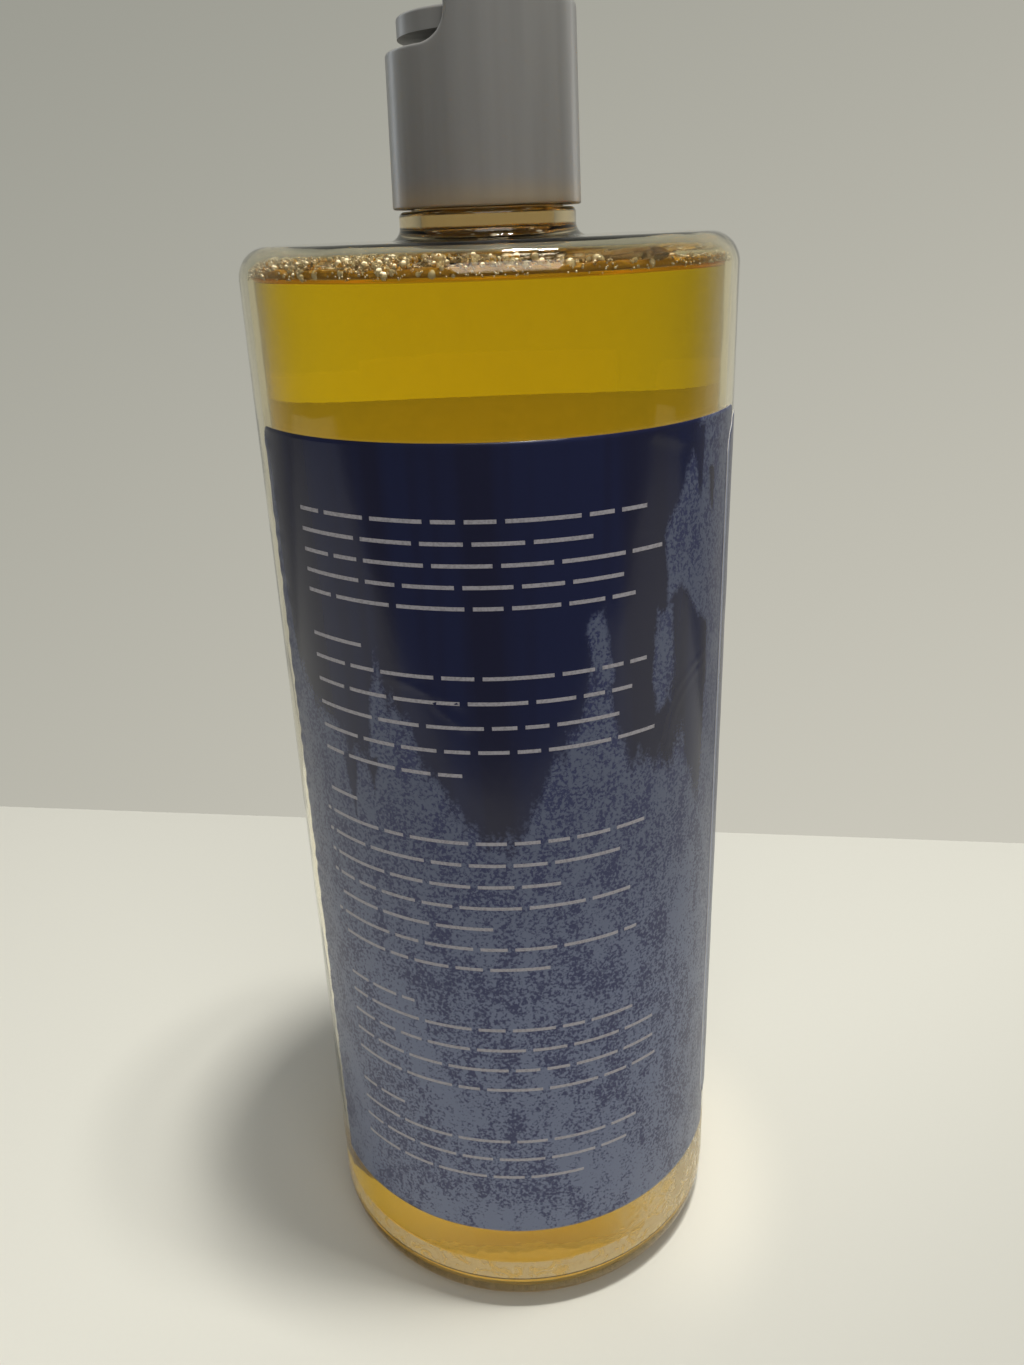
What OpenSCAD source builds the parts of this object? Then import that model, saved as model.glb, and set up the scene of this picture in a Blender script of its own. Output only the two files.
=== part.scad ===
// Castile soap bottle: a clear round blow-moulded bottle of liquid soap with a head of
// foam, two wrapped labels and a screw cap whose press disc tilts to open its spout.
// +Z is up and the origin is the centre of the base on the table.
// The printed back label faces -Y, the cap's press notch is at -X, the spout at +X.

/* [Bottle] */
// Outer diameter of the body
bottle_d = 83; // [76:0.5:92]
// Height of the flat shoulder above the table
shoulder_h = 202.4; // [199:0.1:240]
// Wall thickness of the blown body
wall_t = 1.2; // [0.8:0.1:2]
// Radius of the shoulder's outer edge
shoulder_r = 5; // [3.5:0.5:9]
// Radius of the heel
heel_r = 6.5; // [4:0.5:9]
// Width of the flat ring that the bottle stands on
foot_w = 2; // [1:0.5:4]
// Rise of the pushed-up base at its centre
punt_h = 4; // [2:0.5:8]

/* [Neck finish] */
// Diameter of the neck bore
bore_d = 22.4; // [19:0.1:23]
// Diameter of the neck wall under its thread
neck_d = 25.2; // [24.6:0.1:25.8]
// Diameter over the neck's thread
thread_d = 27.3; // [26.4:0.1:27.6]
// Rise of the thread in one turn
thread_pitch = 4.233; // [3.8:0.001:4.6]
// Turns of thread on the neck
thread_turns = 1.5; // [1:0.25:2]
// Diameter of the bead below the cap
bead_d = 29.4; // [28.4:0.1:30]
// Height of the bead's top above the shoulder
bead_h = 4.4; // [3:0.1:7]
// Height of the neck above the bead
finish_h = 17; // [16:0.1:19]
// Radius of the root where the neck meets the shoulder
neck_root_r = 1.2; // [0.5:0.1:2]

/* [Soap] */
// Drop from the shoulder to the liquid's surface
headspace = 5.2; // [4.5:0.1:20]
// Thickness of the foam
foam_t = 3.3; // [1:0.1:3.5]

/* [Labels] */
// Thickness of each label
label_t = 0.2; // [0.1:0.05:0.3]
// Height of the back label's lower edge
back_label_z = 21.6; // [12:0.1:26]
// Height of the back label
back_label_h = 154.4; // [120:0.1:160]
// Angle of the back label's free edge, from the front centre line
back_label_from = -64; // [-75:1:-50]
// Angle of the back label's covered edge
back_label_to = 70; // [68:1:85]
// Corner radius of the back label
back_label_r = 1.5; // [0.5:0.5:5]
// Height of the front label's lower edge
front_label_z = 28.6; // [20:0.1:32]
// Height of the front label
front_label_h = 145.3; // [110:0.1:150]
// Angle by which the front label laps over the back one
label_lap = 4; // [2:0.5:8]
// Width of the bare strip between the labels, as an angle
bare_strip = 20; // [8:1:40]
// Corner radius of the front label
front_label_r = 6; // [2:0.5:10]

/* [Cap] */
// Outer diameter at the rim
cap_d = 31.1; // [30.8:0.1:34]
// Outer diameter at the top
cap_top_d = 30.1; // [29.8:0.1:30.6]
// Height of the cap
cap_h = 28.7; // [28.5:0.1:31]
// Gap between the bead and the cap's rim
rim_gap = 0.35; // [0.3:0.05:0.8]
// Inner diameter of the skirt
skirt_d = 28; // [27.9:0.1:28.4]
// Inner diameter over the skirt's thread ridge
skirt_thread_d = 26.2; // [25.9:0.1:26.6]
// Thickness of the deck over the neck
deck_t = 1.3; // [1:0.1:1.5]
// Radius of the outer edge at the top
cap_edge_r = 1.2; // [0.5:0.1:1.3]
// Thickness of the sealing liner
liner_t = 0.8; // [0.5:0.1:1]
// Inner diameter of the sealing liner
liner_bore_d = 12; // [8:0.5:16]
// Distance of the notch's upright side from the axis
notch_x = 5.3; // [4:0.1:8]
// Depth of the notch below the top
notch_depth = 6.4; // [5:0.1:6.6]
// Radius at the notch's inner corner
notch_r = 4.1; // [2:0.1:5]

/* [Press disc] */
// Diameter of the disc
disc_d = 26.2; // [25:0.1:26.4]
// Thickness of the disc
disc_t = 3; // [2.6:0.1:3.2]
// Drop of the disc's top below the cap's top
disc_drop = 1.5; // [1.2:0.1:1.6]
// Gap around the disc
disc_gap = 0.35; // [0.3:0.05:0.45]
// Diameter of the disc's pivot pins
pin_d = 2.2; // [1.6:0.1:2.4]
// Radial clearance of the pins and of the valve drum
run_gap = 0.07; // [0.05:0.01:0.1]
// Radius of the valve drum under the disc
drum_r = 5.2; // [5:0.1:5.3]
// Length of the valve drum
drum_l = 6.4; // [5:0.2:8]
// Bore of the spout channel
spout_d = 2.2; // [1.6:0.1:2.4]
// Bore of the hole through the deck
orifice_d = 1.7; // [1.2:0.1:1.8]
// Angle by which the disc tilts open
tilt = 22; // [18:1:22]

/* [Hidden] */
$fn = 96;
// Clearance of the soap, the foam and the liner from what holds them
touch = 0.05;
// Clearance of a label from what it is stuck on
glue = 0.01;
// How far a cutting shape reaches past the surface that it cuts
over = 2;

// Bottle
R = bottle_d / 2;
neck_r = neck_d / 2;
bead_r = bead_d / 2;
bead_top = shoulder_h + bead_h;
bead_edge_r = 0.9;
neck_top = bead_top + finish_h;
foot_r = R - heel_r;
dome_a = foot_r - foot_w;
dome_r = (dome_a * dome_a + punt_h * punt_h) / (2 * punt_h);

// Thread, as the ridge's widths at its root and at its crest
ridge_root = 1.9;
ridge_crest = 1;
ridge_sunk = 0.3;
ridge_steps = 30;
// Share of the ridge's height at its very ends, and the share of its length that it fades in
ridge_end = 0.15;
ridge_fade = 0.2;
thread_rise = thread_pitch * thread_turns;
// Drop from the neck's top to the upper end of the thread
thread_drop = 2.6;
neck_thread_z = neck_top - thread_drop - thread_rise;

// Lap of the front label: from the back label's edge to the step, and the step's own width,
// both as angles
lap_gap = 0.3;
lap_step = 1;
// Distance of a rounded corner's centre from the sheet's edges, as a share of its radius
corner_inset = 0.97;

// Cap, which hangs on the neck by its thread and presses the liner on the neck's land
cap_z = bead_top + rim_gap;
cap_top = cap_z + cap_h;
liner_z = neck_top + touch;
deck_z = liner_z + liner_t + touch;
deck_top = deck_z + deck_t;
// Play of the liner's outer edge in the skirt
liner_play = 0.3;
well_r = disc_d / 2 + disc_gap;
notch_z = cap_top - notch_depth;

// Disc
disc_r = disc_d / 2;
disc_top = cap_top - disc_drop;
pivot_z = disc_top - disc_t / 2;
disc_edge_r = 0.5;
// Reach of the pins past the disc's edge, and their end play in the sockets
pin_reach = 1.05;
pin_play = 0.15;
pin_end = disc_r + pin_reach;
socket_end = pin_end + pin_play;
// The seat stands below the disc by seat_gap when the disc is tilted
seat_r = 5;
seat_gap = 0.4;
seat_top = pivot_z - disc_t / 2 - seat_r * sin(tilt) - seat_gap;
// Wall of the spout channel's tube, and the cover of plate left over the drum
spout_wall = 0.9;
drum_cover = 0.2;
inlet_d = 1.7;
thumb_r = 18;
thumb_depth = 0.7;
thumb_x = -8;

// Half a section of the body, grown inwards by inset from the outer surface.
// The base rises as a shallow dome inside its standing ring.
module body_section(inset) {
    r = R - inset;
    top = shoulder_h - inset;
    edge = max(shoulder_r - inset, 0.5);
    heel = max(heel_r - inset, 0.5);
    difference() {
        union() {
            translate([0, inset]) square([r - heel, top - inset]);
            translate([0, inset + heel]) square([r, top - edge - inset - heel]);
            translate([0, inset + heel]) square([r - edge, top - inset - heel]);
            translate([r - heel, inset + heel]) circle(heel);
            translate([r - edge, top - edge]) circle(edge);
        }
        translate([0, punt_h - dome_r]) circle(dome_r + inset, $fn = 360);
        translate([-2 * dome_r, -2 * dome_r]) square([2 * dome_r, 4 * dome_r + shoulder_h]);
    }
}

// Half a section of the solid neck: the root, the bead with its round upper edge and the tube
module neck_section() {
    translate([0, shoulder_h - wall_t / 2]) square([neck_r, neck_top - shoulder_h + wall_t / 2]);
    translate([0, shoulder_h - wall_t / 2]) square([bead_r, bead_h - bead_edge_r + wall_t / 2]);
    translate([0, bead_top - 2 * bead_edge_r]) square([bead_r - bead_edge_r, 2 * bead_edge_r]);
    translate([bead_r - bead_edge_r, bead_top - bead_edge_r]) circle(bead_edge_r);
    difference() {
        translate([0, shoulder_h - wall_t / 2])
            square([bead_r + neck_root_r, neck_root_r + wall_t / 2]);
        translate([bead_r + neck_root_r, shoulder_h + neck_root_r]) circle(neck_root_r);
    }
}

// One point ring of a thread ridge at step i of n. The ridge fades in and out at its
// ends, and reaches from r_root to r_crest.
function ridge_ring(i, n, z0, r_root, r_crest) =
    let (
        a = 360 * thread_turns * i / n,
        z = z0 + thread_rise * i / n,
        fade = min(1, ridge_end + min(i, n - i) / n / ridge_fade),
        crest = r_root + (r_crest - r_root) * fade
    )
    [for (p = [[r_root, -ridge_root / 2], [crest, -ridge_crest / 2],
            [crest, ridge_crest / 2], [r_root, ridge_root / 2]])
        [p[0] * cos(a), p[0] * sin(a), z + p[1]]];

// A helical ridge with four-cornered rings joined by flat triangles
module thread_ridge(z0, r_root, r_crest) {
    n = round(ridge_steps * thread_turns);
    points = [for (i = [0:n]) each ridge_ring(i, n, z0, r_root, r_crest)];
    // A ridge that points inwards has its rings the other way round
    flip = r_crest < r_root;
    sides = [for (i = [0:n - 1], k = [0:3])
        let (a = 4 * i + k, b = 4 * i + (k + 1) % 4, c = b + 4, d = a + 4)
        each [[a, b, c], [a, c, d]]];
    ends = [[3, 2, 1], [3, 1, 0], [4 * n, 4 * n + 1, 4 * n + 2], [4 * n, 4 * n + 2, 4 * n + 3]];
    all_faces = concat(sides, ends);
    faces = flip ? [for (f = all_faces) [f[2], f[1], f[0]]] : all_faces;
    polyhedron(points = points, faces = faces, convexity = 6);
}

// A sheet wrapped on the body from angle a0 to a1, measured from -Y towards +X
module wrap(r0, r1, z0, h, a0, a1) {
    rotate([0, 0, a0 - 90]) rotate_extrude(angle = a1 - a0, $fn = 360)
        translate([r0, z0]) square([r1 - r0, h]);
}

// What a round corner of radius r takes off a sheet at angle a and height z.
// side and up are 1 or -1 and point out of the sheet. The round meets the edges at a
// slight angle, so its centre stands a little less than r from them.
module corner_cut(a, z, r, side, up) {
    inset = corner_inset * r;
    depth = r / 3 + over;
    rotate([0, 0, a - side * asin(inset / R) - 90]) translate([R - depth, 0, z - up * inset])
        difference() {
            translate([0, side > 0 ? 0 : -2 * r, up > 0 ? 0 : -2 * r])
                cube([2 * depth, 2 * r, 2 * r]);
            translate([-over, 0, 0]) rotate([0, 90, 0])
                cylinder(r = r, h = 2 * depth + 2 * over, $fn = 48);
        }
}

module bottle() {
    color([0.86, 0.84, 0.76, 0.5]) union() {
        rotate_extrude($fn = 180) difference() {
            union() {
                body_section(0);
                neck_section();
            }
            body_section(wall_t);
            translate([0, shoulder_h - 2 * wall_t])
                square([bore_d / 2, neck_top - shoulder_h + 3 * wall_t]);
        }
        thread_ridge(neck_thread_z, neck_r - ridge_sunk, thread_d / 2);
    }
}

// The liquid fills the body up to its level
module soap() {
    color([0.75, 0.55, 0.02]) rotate_extrude($fn = 180) intersection() {
        body_section(wall_t + touch);
        square([R, shoulder_h - headspace]);
    }
}

// The head of bubbles that floats on the liquid
module foam() {
    color([0.85, 0.75, 0.5]) rotate_extrude($fn = 180) intersection() {
        body_section(wall_t + touch);
        translate([0, shoulder_h - headspace]) square([R, foam_t]);
    }
}

module back_label() {
    top = back_label_z + back_label_h;
    color([0.13, 0.14, 0.27]) difference() {
        wrap(R + glue, R + label_t, back_label_z, back_label_h, back_label_from, back_label_to);
        corner_cut(back_label_from, top, back_label_r, -1, 1);
        corner_cut(back_label_from, back_label_z, back_label_r, -1, -1);
        corner_cut(back_label_to, top, back_label_r, 1, 1);
        corner_cut(back_label_to, back_label_z, back_label_r, 1, -1);
    }
}

// The front label lies on the bottle, and steps up where it laps over the back label
module front_label() {
    top = front_label_z + front_label_h;
    start = back_label_to - label_lap;
    step = back_label_to + lap_gap;
    end = 360 + back_label_from - bare_strip;
    color([0.16, 0.17, 0.3]) difference() {
        union() {
            wrap(R + glue, R + label_t, front_label_z, front_label_h, step, end);
            wrap(R + glue, R + 2 * label_t + glue, front_label_z, front_label_h,
                step, step + lap_step);
            wrap(R + label_t + glue, R + 2 * label_t + glue, front_label_z, front_label_h,
                start, step + lap_step / 2);
        }
        corner_cut(start, top, front_label_r, -1, 1);
        corner_cut(start, front_label_z, front_label_r, -1, -1);
        corner_cut(end, top, front_label_r, 1, 1);
        corner_cut(end, front_label_z, front_label_r, 1, -1);
    }
}

// The ring that the cap presses on the neck's land
module seal_liner() {
    color([0.9, 0.9, 0.88]) translate([0, 0, liner_z]) difference() {
        cylinder(d = skirt_d - 2 * liner_play, h = liner_t);
        translate([0, 0, -over]) cylinder(d = liner_bore_d, h = liner_t + 2 * over);
    }
}

// Half a section of the cap: tapered outside with a round top edge, the skirt below
// the deck and the disc's well above it, with the valve seat in the middle
module cap_section() {
    top_r = cap_top_d / 2;
    difference() {
        union() {
            polygon([[0, 0], [cap_d / 2, 0], [top_r, cap_h - cap_edge_r],
                [0, cap_h - cap_edge_r]]);
            square([top_r - cap_edge_r, cap_h]);
            translate([top_r - cap_edge_r, cap_h - cap_edge_r]) circle(cap_edge_r, $fn = 48);
        }
        translate([-over, -over]) square([skirt_d / 2 + over, deck_z - cap_z + over]);
        translate([0, deck_top - cap_z]) square([well_r, cap_h]);
        translate([-cap_d, -over]) square([cap_d, cap_h + 2 * over]);
    }
    translate([0, deck_top - cap_z - deck_t / 2])
        square([seat_r, seat_top - deck_top + deck_t / 2]);
}

// The scoop out of the wall at -X, seen along Y
module notch_section() {
    translate([-cap_d, 0]) square([cap_d - notch_x - notch_r, cap_h]);
    translate([-cap_d, notch_r]) square([cap_d - notch_x, cap_h - notch_r]);
    translate([-notch_x - notch_r, notch_r]) circle(notch_r, $fn = 64);
}

module cap_body() {
    color([0.45, 0.45, 0.44]) union() {
        difference() {
            translate([0, 0, cap_z]) rotate_extrude($fn = 144) cap_section();
            translate([0, 0, notch_z]) rotate([90, 0, 0])
                linear_extrude(cap_d + 2 * over, center = true) notch_section();
            // Sockets of the pivot pins
            translate([0, 0, pivot_z]) rotate([90, 0, 0])
                cylinder(d = pin_d + 2 * run_gap, h = 2 * socket_end, center = true, $fn = 48);
            // Dish in which the valve drum turns, and the hole that it opens
            translate([0, 0, pivot_z]) rotate([90, 0, 0])
                cylinder(r = drum_r + run_gap, h = 2 * seat_r + over, center = true);
            cylinder(d = orifice_d, h = cap_top, $fn = 32);
        }
        thread_ridge(neck_thread_z + thread_pitch / 2, skirt_d / 2 + ridge_sunk,
            skirt_thread_d / 2);
    }
}

// The plate of the disc with a round upper edge and a thumb dip at -X
module disc_plate() {
    difference() {
        translate([0, 0, disc_top - disc_t]) rotate_extrude() {
            square([disc_r, disc_t - disc_edge_r]);
            square([disc_r - disc_edge_r, disc_t]);
            intersection() {
                translate([disc_r - disc_edge_r, disc_t - disc_edge_r])
                    circle(disc_edge_r, $fn = 32);
                square([disc_r, disc_t]);
            }
        }
        translate([thumb_x, 0, disc_top + thumb_r - thumb_depth]) sphere(thumb_r, $fn = 128);
    }
}

// The drum that closes the hole in the deck and the tube of the spout channel
module disc_valve() {
    intersection() {
        union() {
            translate([0, 0, pivot_z]) rotate([90, 0, 0])
                cylinder(r = drum_r, h = drum_l, center = true);
            translate([0, 0, pivot_z]) rotate([0, 90, 0])
                cylinder(d = spout_d + 2 * spout_wall, h = disc_r);
        }
        translate([0, 0, pivot_z - drum_r - over])
            cylinder(r = disc_r, h = drum_r + over + disc_t / 2 - drum_cover);
    }
}

module press_disc() {
    color([0.5, 0.5, 0.49]) difference() {
        union() {
            disc_plate();
            disc_valve();
            translate([0, 0, pivot_z]) rotate([90, 0, 0])
                cylinder(d = pin_d, h = 2 * pin_end, center = true, $fn = 48);
        }
        translate([0, 0, pivot_z]) rotate([0, 90, 0])
            cylinder(d = spout_d, h = disc_r + over, $fn = 32);
        // The inlet stands over the hole in the deck when the disc is tilted open
        translate([0, 0, pivot_z]) rotate([0, 180 + tilt, 0])
            cylinder(d = inlet_d, h = drum_r + over, $fn = 32);
    }
}

bottle();
soap();
foam();
back_label();
front_label();
seal_liner();
cap_body();
press_disc();
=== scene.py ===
"""Looks of a castile soap bottle, built round its packed model.

The file is laid out as an add-on and run as a script. Every length is in metres and every
angle round the bottle is measured from -Y, where its printed label faces, towards +X.
The cap's press notch is at -X and its spout at +X.
"""
import math

import bpy
import numpy as np
from mathutils import Matrix, Vector


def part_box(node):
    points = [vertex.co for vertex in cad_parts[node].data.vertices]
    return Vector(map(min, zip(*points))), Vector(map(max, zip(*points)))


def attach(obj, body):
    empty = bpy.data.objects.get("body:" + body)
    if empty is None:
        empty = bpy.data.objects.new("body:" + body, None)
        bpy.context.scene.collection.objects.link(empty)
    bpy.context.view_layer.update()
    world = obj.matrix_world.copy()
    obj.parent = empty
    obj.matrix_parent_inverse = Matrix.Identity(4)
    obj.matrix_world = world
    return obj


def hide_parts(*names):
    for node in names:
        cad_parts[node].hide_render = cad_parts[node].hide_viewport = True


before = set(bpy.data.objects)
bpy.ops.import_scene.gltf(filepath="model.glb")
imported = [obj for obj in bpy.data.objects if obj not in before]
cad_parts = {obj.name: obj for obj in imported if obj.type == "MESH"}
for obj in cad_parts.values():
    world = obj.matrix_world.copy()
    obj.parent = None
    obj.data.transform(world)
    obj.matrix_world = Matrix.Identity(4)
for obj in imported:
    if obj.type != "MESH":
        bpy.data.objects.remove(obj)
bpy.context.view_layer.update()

bl_info = {
    "name": "Soap bottle looks",
    "version": (1, 0, 0),
    "blender": (4, 5, 0),
    "location": "3D View > Sidebar > Soap bottle",
    "description": "Dresses the packed soap bottle: plastic, liquid, foam, labels and cap",
    "category": "Object",
}

MM = 0.001

# Measures that the packed model gives
BOTTLE_LOW, BOTTLE_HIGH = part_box("bottle")
SOAP_LOW, SOAP_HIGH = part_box("soap")
FOAM_LOW, FOAM_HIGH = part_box("foam")
BACK_LOW, BACK_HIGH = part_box("back_label")
FRONT_LOW, FRONT_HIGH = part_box("front_label")
LINER_LOW, LINER_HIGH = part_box("seal_liner")
CAP_LOW, CAP_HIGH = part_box("cap_body")
DISC_LOW, DISC_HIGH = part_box("press_disc")
BODY_R = BOTTLE_HIGH.x
NECK_TOP = BOTTLE_HIGH.z


def length(name, description, default, low=0.0, high=1.0):
    """A length in metres that a user may change."""
    return bpy.props.FloatProperty(
        name=name, description=description, default=default, min=low, max=high,
        unit="LENGTH", subtype="DISTANCE", precision=5)


def angle(name, description, degrees):
    """An angle, stored in radians."""
    return bpy.props.FloatProperty(
        name=name, description=description, default=math.radians(degrees), subtype="ANGLE")


def colour(name, description, default):
    """A linear colour."""
    return bpy.props.FloatVectorProperty(
        name=name, description=description, default=default, size=3, min=0, max=1,
        subtype="COLOR")


def amount(name, description, default, low=0.0, high=1000.0):
    """A plain number."""
    return bpy.props.FloatProperty(
        name=name, description=description, default=default, min=low, max=high)


def count(name, description, default):
    """A whole number."""
    return bpy.props.IntProperty(name=name, description=description, default=default, min=0)


class BottleSizes(bpy.types.PropertyGroup):
    """Form and finish of the blown bottle"""
    wall: length("Wall", "Thickness of the wall", 1.2 * MM)
    shoulder_z: length("Shoulder height", "Height of the flat shoulder", 202.4 * MM)
    shoulder_r: length("Shoulder radius", "Radius of the shoulder's outer edge", 5 * MM)
    heel_r: length("Heel radius", "Radius of the heel", 6.5 * MM)
    foot: length("Foot", "Width of the flat standing ring", 2 * MM)
    punt: length("Punt", "Rise of the pushed-up base", 4 * MM)
    bead_r: length("Bead radius", "Radius of the bead below the cap", 14.7 * MM)
    bead_h: length("Bead height", "Height of the bead's top above the shoulder", 4.4 * MM)
    bead_edge: length("Bead edge", "Radius of the bead's upper edge", 0.9 * MM)
    root: length("Neck root", "Radius where the neck meets the shoulder", 2.0 * MM)
    neck_r: length("Neck radius", "Radius of the neck wall under its thread", 12.6 * MM)
    bore_r: length("Bore radius", "Radius of the neck's bore", 11.2 * MM)
    thread_r: length("Thread radius", "Radius over the neck's thread", 13.65 * MM)
    thread_z: length("Thread start", "Height of the thread's lower end", 214.85 * MM)
    pitch: length("Pitch", "Rise of the thread in one turn", 4.233 * MM)
    turns: amount("Turns", "Turns of thread", 1.5)
    ridge_root: length("Ridge root", "Width of the thread at its foot", 1.9 * MM)
    ridge_crest: length("Ridge crest", "Width of the thread at its top", 1.0 * MM)
    part_z: length("Parting line", "Height of the mould's parting line", 8.1 * MM)
    band_z: length("Cloudy band", "Upper edge of the cloudy band over that line", 12.4 * MM)
    cloud: colour("Cloud", "Colour of the cloudy plastic at the heel", (0.31, 0.21, 0.075))
    heel_tint: colour("Heel tint", "Colour of the thick plastic of the heel", (1.0, 0.84, 0.46))
    tint: colour("Tint", "Colour of the clear plastic", (1.0, 0.94, 0.73))
    neck_tint: colour("Neck tint", "Colour of the neck, wet with soap", (0.79, 0.66, 0.42))


class SoapSizes(bpy.types.PropertyGroup):
    """Form and colour of the liquid soap"""
    gap: length("Gap", "Pale line between the liquid and the wall", 1.1 * MM)
    wet: length("Wet", "How deep the liquid reaches into the wall at the base", 0.3 * MM)
    wet_to: length("Wet height", "Height up to which it wets the wall all round", 22 * MM)
    free_from: length("Free from", "Height from which the liquid draws off the wall", 110 * MM)
    free_to: length("Free to", "Height from which it is free of the wall all round", 172 * MM)
    free_side: angle("Free side", "Middle of the bare strip between the labels", -76)
    free_half: angle("Free half", "Half width of that strip, where the liquid keeps off", 16)
    meniscus: length("Meniscus", "Climb of the liquid at the wall", 0.7 * MM)
    clear: colour("Colour", "What the liquid lets through", (1.0, 0.951, 0.0))
    density: amount("Density", "Strength of the liquid's colour, for each metre", 90.0)


class FoamSizes(bpy.types.PropertyGroup):
    """Bubbles of the foam"""
    film_gap: length("Film gap", "Distance of the wet film from the wall", 0.9 * MM)
    film_low: length("Film below", "Underside of the wet film, over the liquid", 0.75 * MM)
    film_high: length("Film above", "Top of the wet film before its lumps", 1.5 * MM)
    film_edge: length("Film edge", "Radius of the wet film's round edge", 0.35 * MM)
    near: count("Bubbles at the wall", "Small bubbles along the wall", 2700)
    inside: count("Bubbles inside", "Bubbles over the rest of the liquid", 300)
    small: length("Small", "Radius of the smallest bubbles", 0.14 * MM)
    large: length("Large", "Radius of the largest bubbles", 0.7 * MM)
    milky: length("Milky", "Radius below which a bubble is milky, not clear", 0.8 * MM)
    inner: length("Inner", "How much larger than the rest the bubbles inside grow", 1.3 * MM)
    air: length("Air", "Distance that bubbles keep from the wall and the shoulder", 0.1 * MM)
    float_z: length("Float", "Lowest of the bubbles at the wall, over the liquid", 0.35 * MM)
    pile_low: length("Low pile", "Height of the bubbles at the wall, towards +X", 1.4 * MM)
    pile_high: length("High pile", "Height of the bubbles at the wall, towards -X", 3.8 * MM)
    depth: length("Depth", "How far in from the wall its bubbles stand", 2.4 * MM)
    glint: amount("Glint", "Strength of the bright spot on a bubble at the wall", 1.6)
    glinting: amount("Glinting", "Share of those bubbles that have such a spot", 0.35)
    seed: count("Seed", "Seed of the bubbles' places", 7)
    wet: colour("Wet foam", "Colour of the wet film between bubbles", (0.66, 0.36, 0.03))
    dry: colour("Dry foam", "Colour of the bubbles", (0.76, 0.67, 0.52))


class LabelSizes(bpy.types.PropertyGroup):
    """Form and colours of the two wrapped labels"""
    back_from: angle("Back label from", "Free edge of the back label", -64)
    back_to: angle("Back label to", "Covered edge of the back label", 70)
    back_corner: length("Back corner", "Corner radius of the back label", 1.5 * MM)
    front_from: angle("Front label from", "Lapping edge of the front label", 66)
    front_to: angle("Front label to", "Free edge of the front label", 276)
    front_corner: length("Front corner", "Corner radius of the front label", 6 * MM)
    film: length("Film", "Thickness of a label", 0.19 * MM)
    night: colour("Night", "Unscuffed ground of the labels", (0.0135, 0.0145, 0.04))
    navy: colour("Navy", "Ground of the labels between scuffs", (0.026, 0.033, 0.105))
    # The slate is a painted reflection of the room on the scuffed film, paler low down
    slate_reflection: colour("Slate", "Scuffed and cloudy film", (0.128, 0.152, 0.235))
    slate_reflection_high: length("Dark slate", "Height above which the slate is darkest", 125 * MM)
    slate_reflection_low: length("Pale slate", "Height below which the slate is palest", 65 * MM)
    # This pale edge colour is a painted highlight where the front label's lapping edge catches the
    # light
    worn: colour("Worn edge", "Lapping edge of the front label", (0.42, 0.45, 0.55))
    edge_highlight_wide: angle("Worn width", "Width of that worn edge round the bottle", 1.26)
    backing: colour("Backing", "Inner face of the film", (0.80, 0.76, 0.66))
    glow: amount("Glow", "Light that the soap scatters onto the inner face", 0.55)
    glow_low: length("Glow height", "Height over which the glow fades", 120 * MM)
    sink: length("Sink", "How deep the glue draws a film into the bottle's face", 0.05 * MM)
    print_colour: colour("Print", "Colour of the plain dashes", (0.40, 0.38, 0.41))
    dash: length("Dash", "Height of a dash", 0.62 * MM)
    seed: count("Seed", "Seed of the dashes' lengths", 11)


class CapSizes(bpy.types.PropertyGroup):
    """Form and finish of the cap and its disc"""
    grey: colour("Grey", "Moulded plastic", (0.265, 0.26, 0.245))
    # Painted light: the soap's amber shining up into the cap's rim
    painted_amber_light: colour("Warm", "The cap's rim, where the amber shines up into it", (0.34, 0.28, 0.19))
    top_r: length("Top radius", "Outer radius at the cap's top", 15.05 * MM)
    edge_r: length("Edge radius", "Radius of the outer edge at the top", 1.2 * MM)
    notch_edge: length("Notch edge", "Radius of the notch's edges", 0.5 * MM)
    well_r: length("Well radius", "Radius of the disc's well", 13.45 * MM)
    skirt_r: length("Skirt radius", "Inner radius of the skirt", 14 * MM)
    thread_r: length("Thread radius", "Inner radius over the skirt's thread", 13.1 * MM)
    deck: length("Deck", "Thickness of the deck over the neck", 1.3 * MM)
    notch_x: length("Notch side", "Distance of the notch's upright side from the axis", 5.3 * MM)
    notch_depth: length("Notch depth", "Depth of the notch below the top", 6.4 * MM)
    notch_r: length("Notch radius", "Radius of the notch's inner corner", 4.1 * MM)
    seat_r: length("Seat radius", "Radius of the valve seat", 5 * MM)
    seat_h: length("Seat height", "Height of the valve seat over the deck", 3.08 * MM)
    drum_r: length("Drum radius", "Radius of the dish for the valve drum", 5.27 * MM)
    orifice_r: length("Orifice radius", "Radius of the hole through the deck", 0.85 * MM)
    pivot_drop: length("Pivot drop", "Depth of the disc's pivot below its top", 1.5 * MM)
    socket_r: length("Socket radius", "Radius of the blind sockets for the pins", 1.25 * MM)
    socket_depth: length("Socket depth", "Depth of the sockets in the well's wall", 0.8 * MM)
    inner_edge: length("Inner edge", "Radius of the well's upper edge", 0.3 * MM)
    rim_edge: length("Rim edge", "Radius of the rim's edges", 0.35 * MM)


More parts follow.
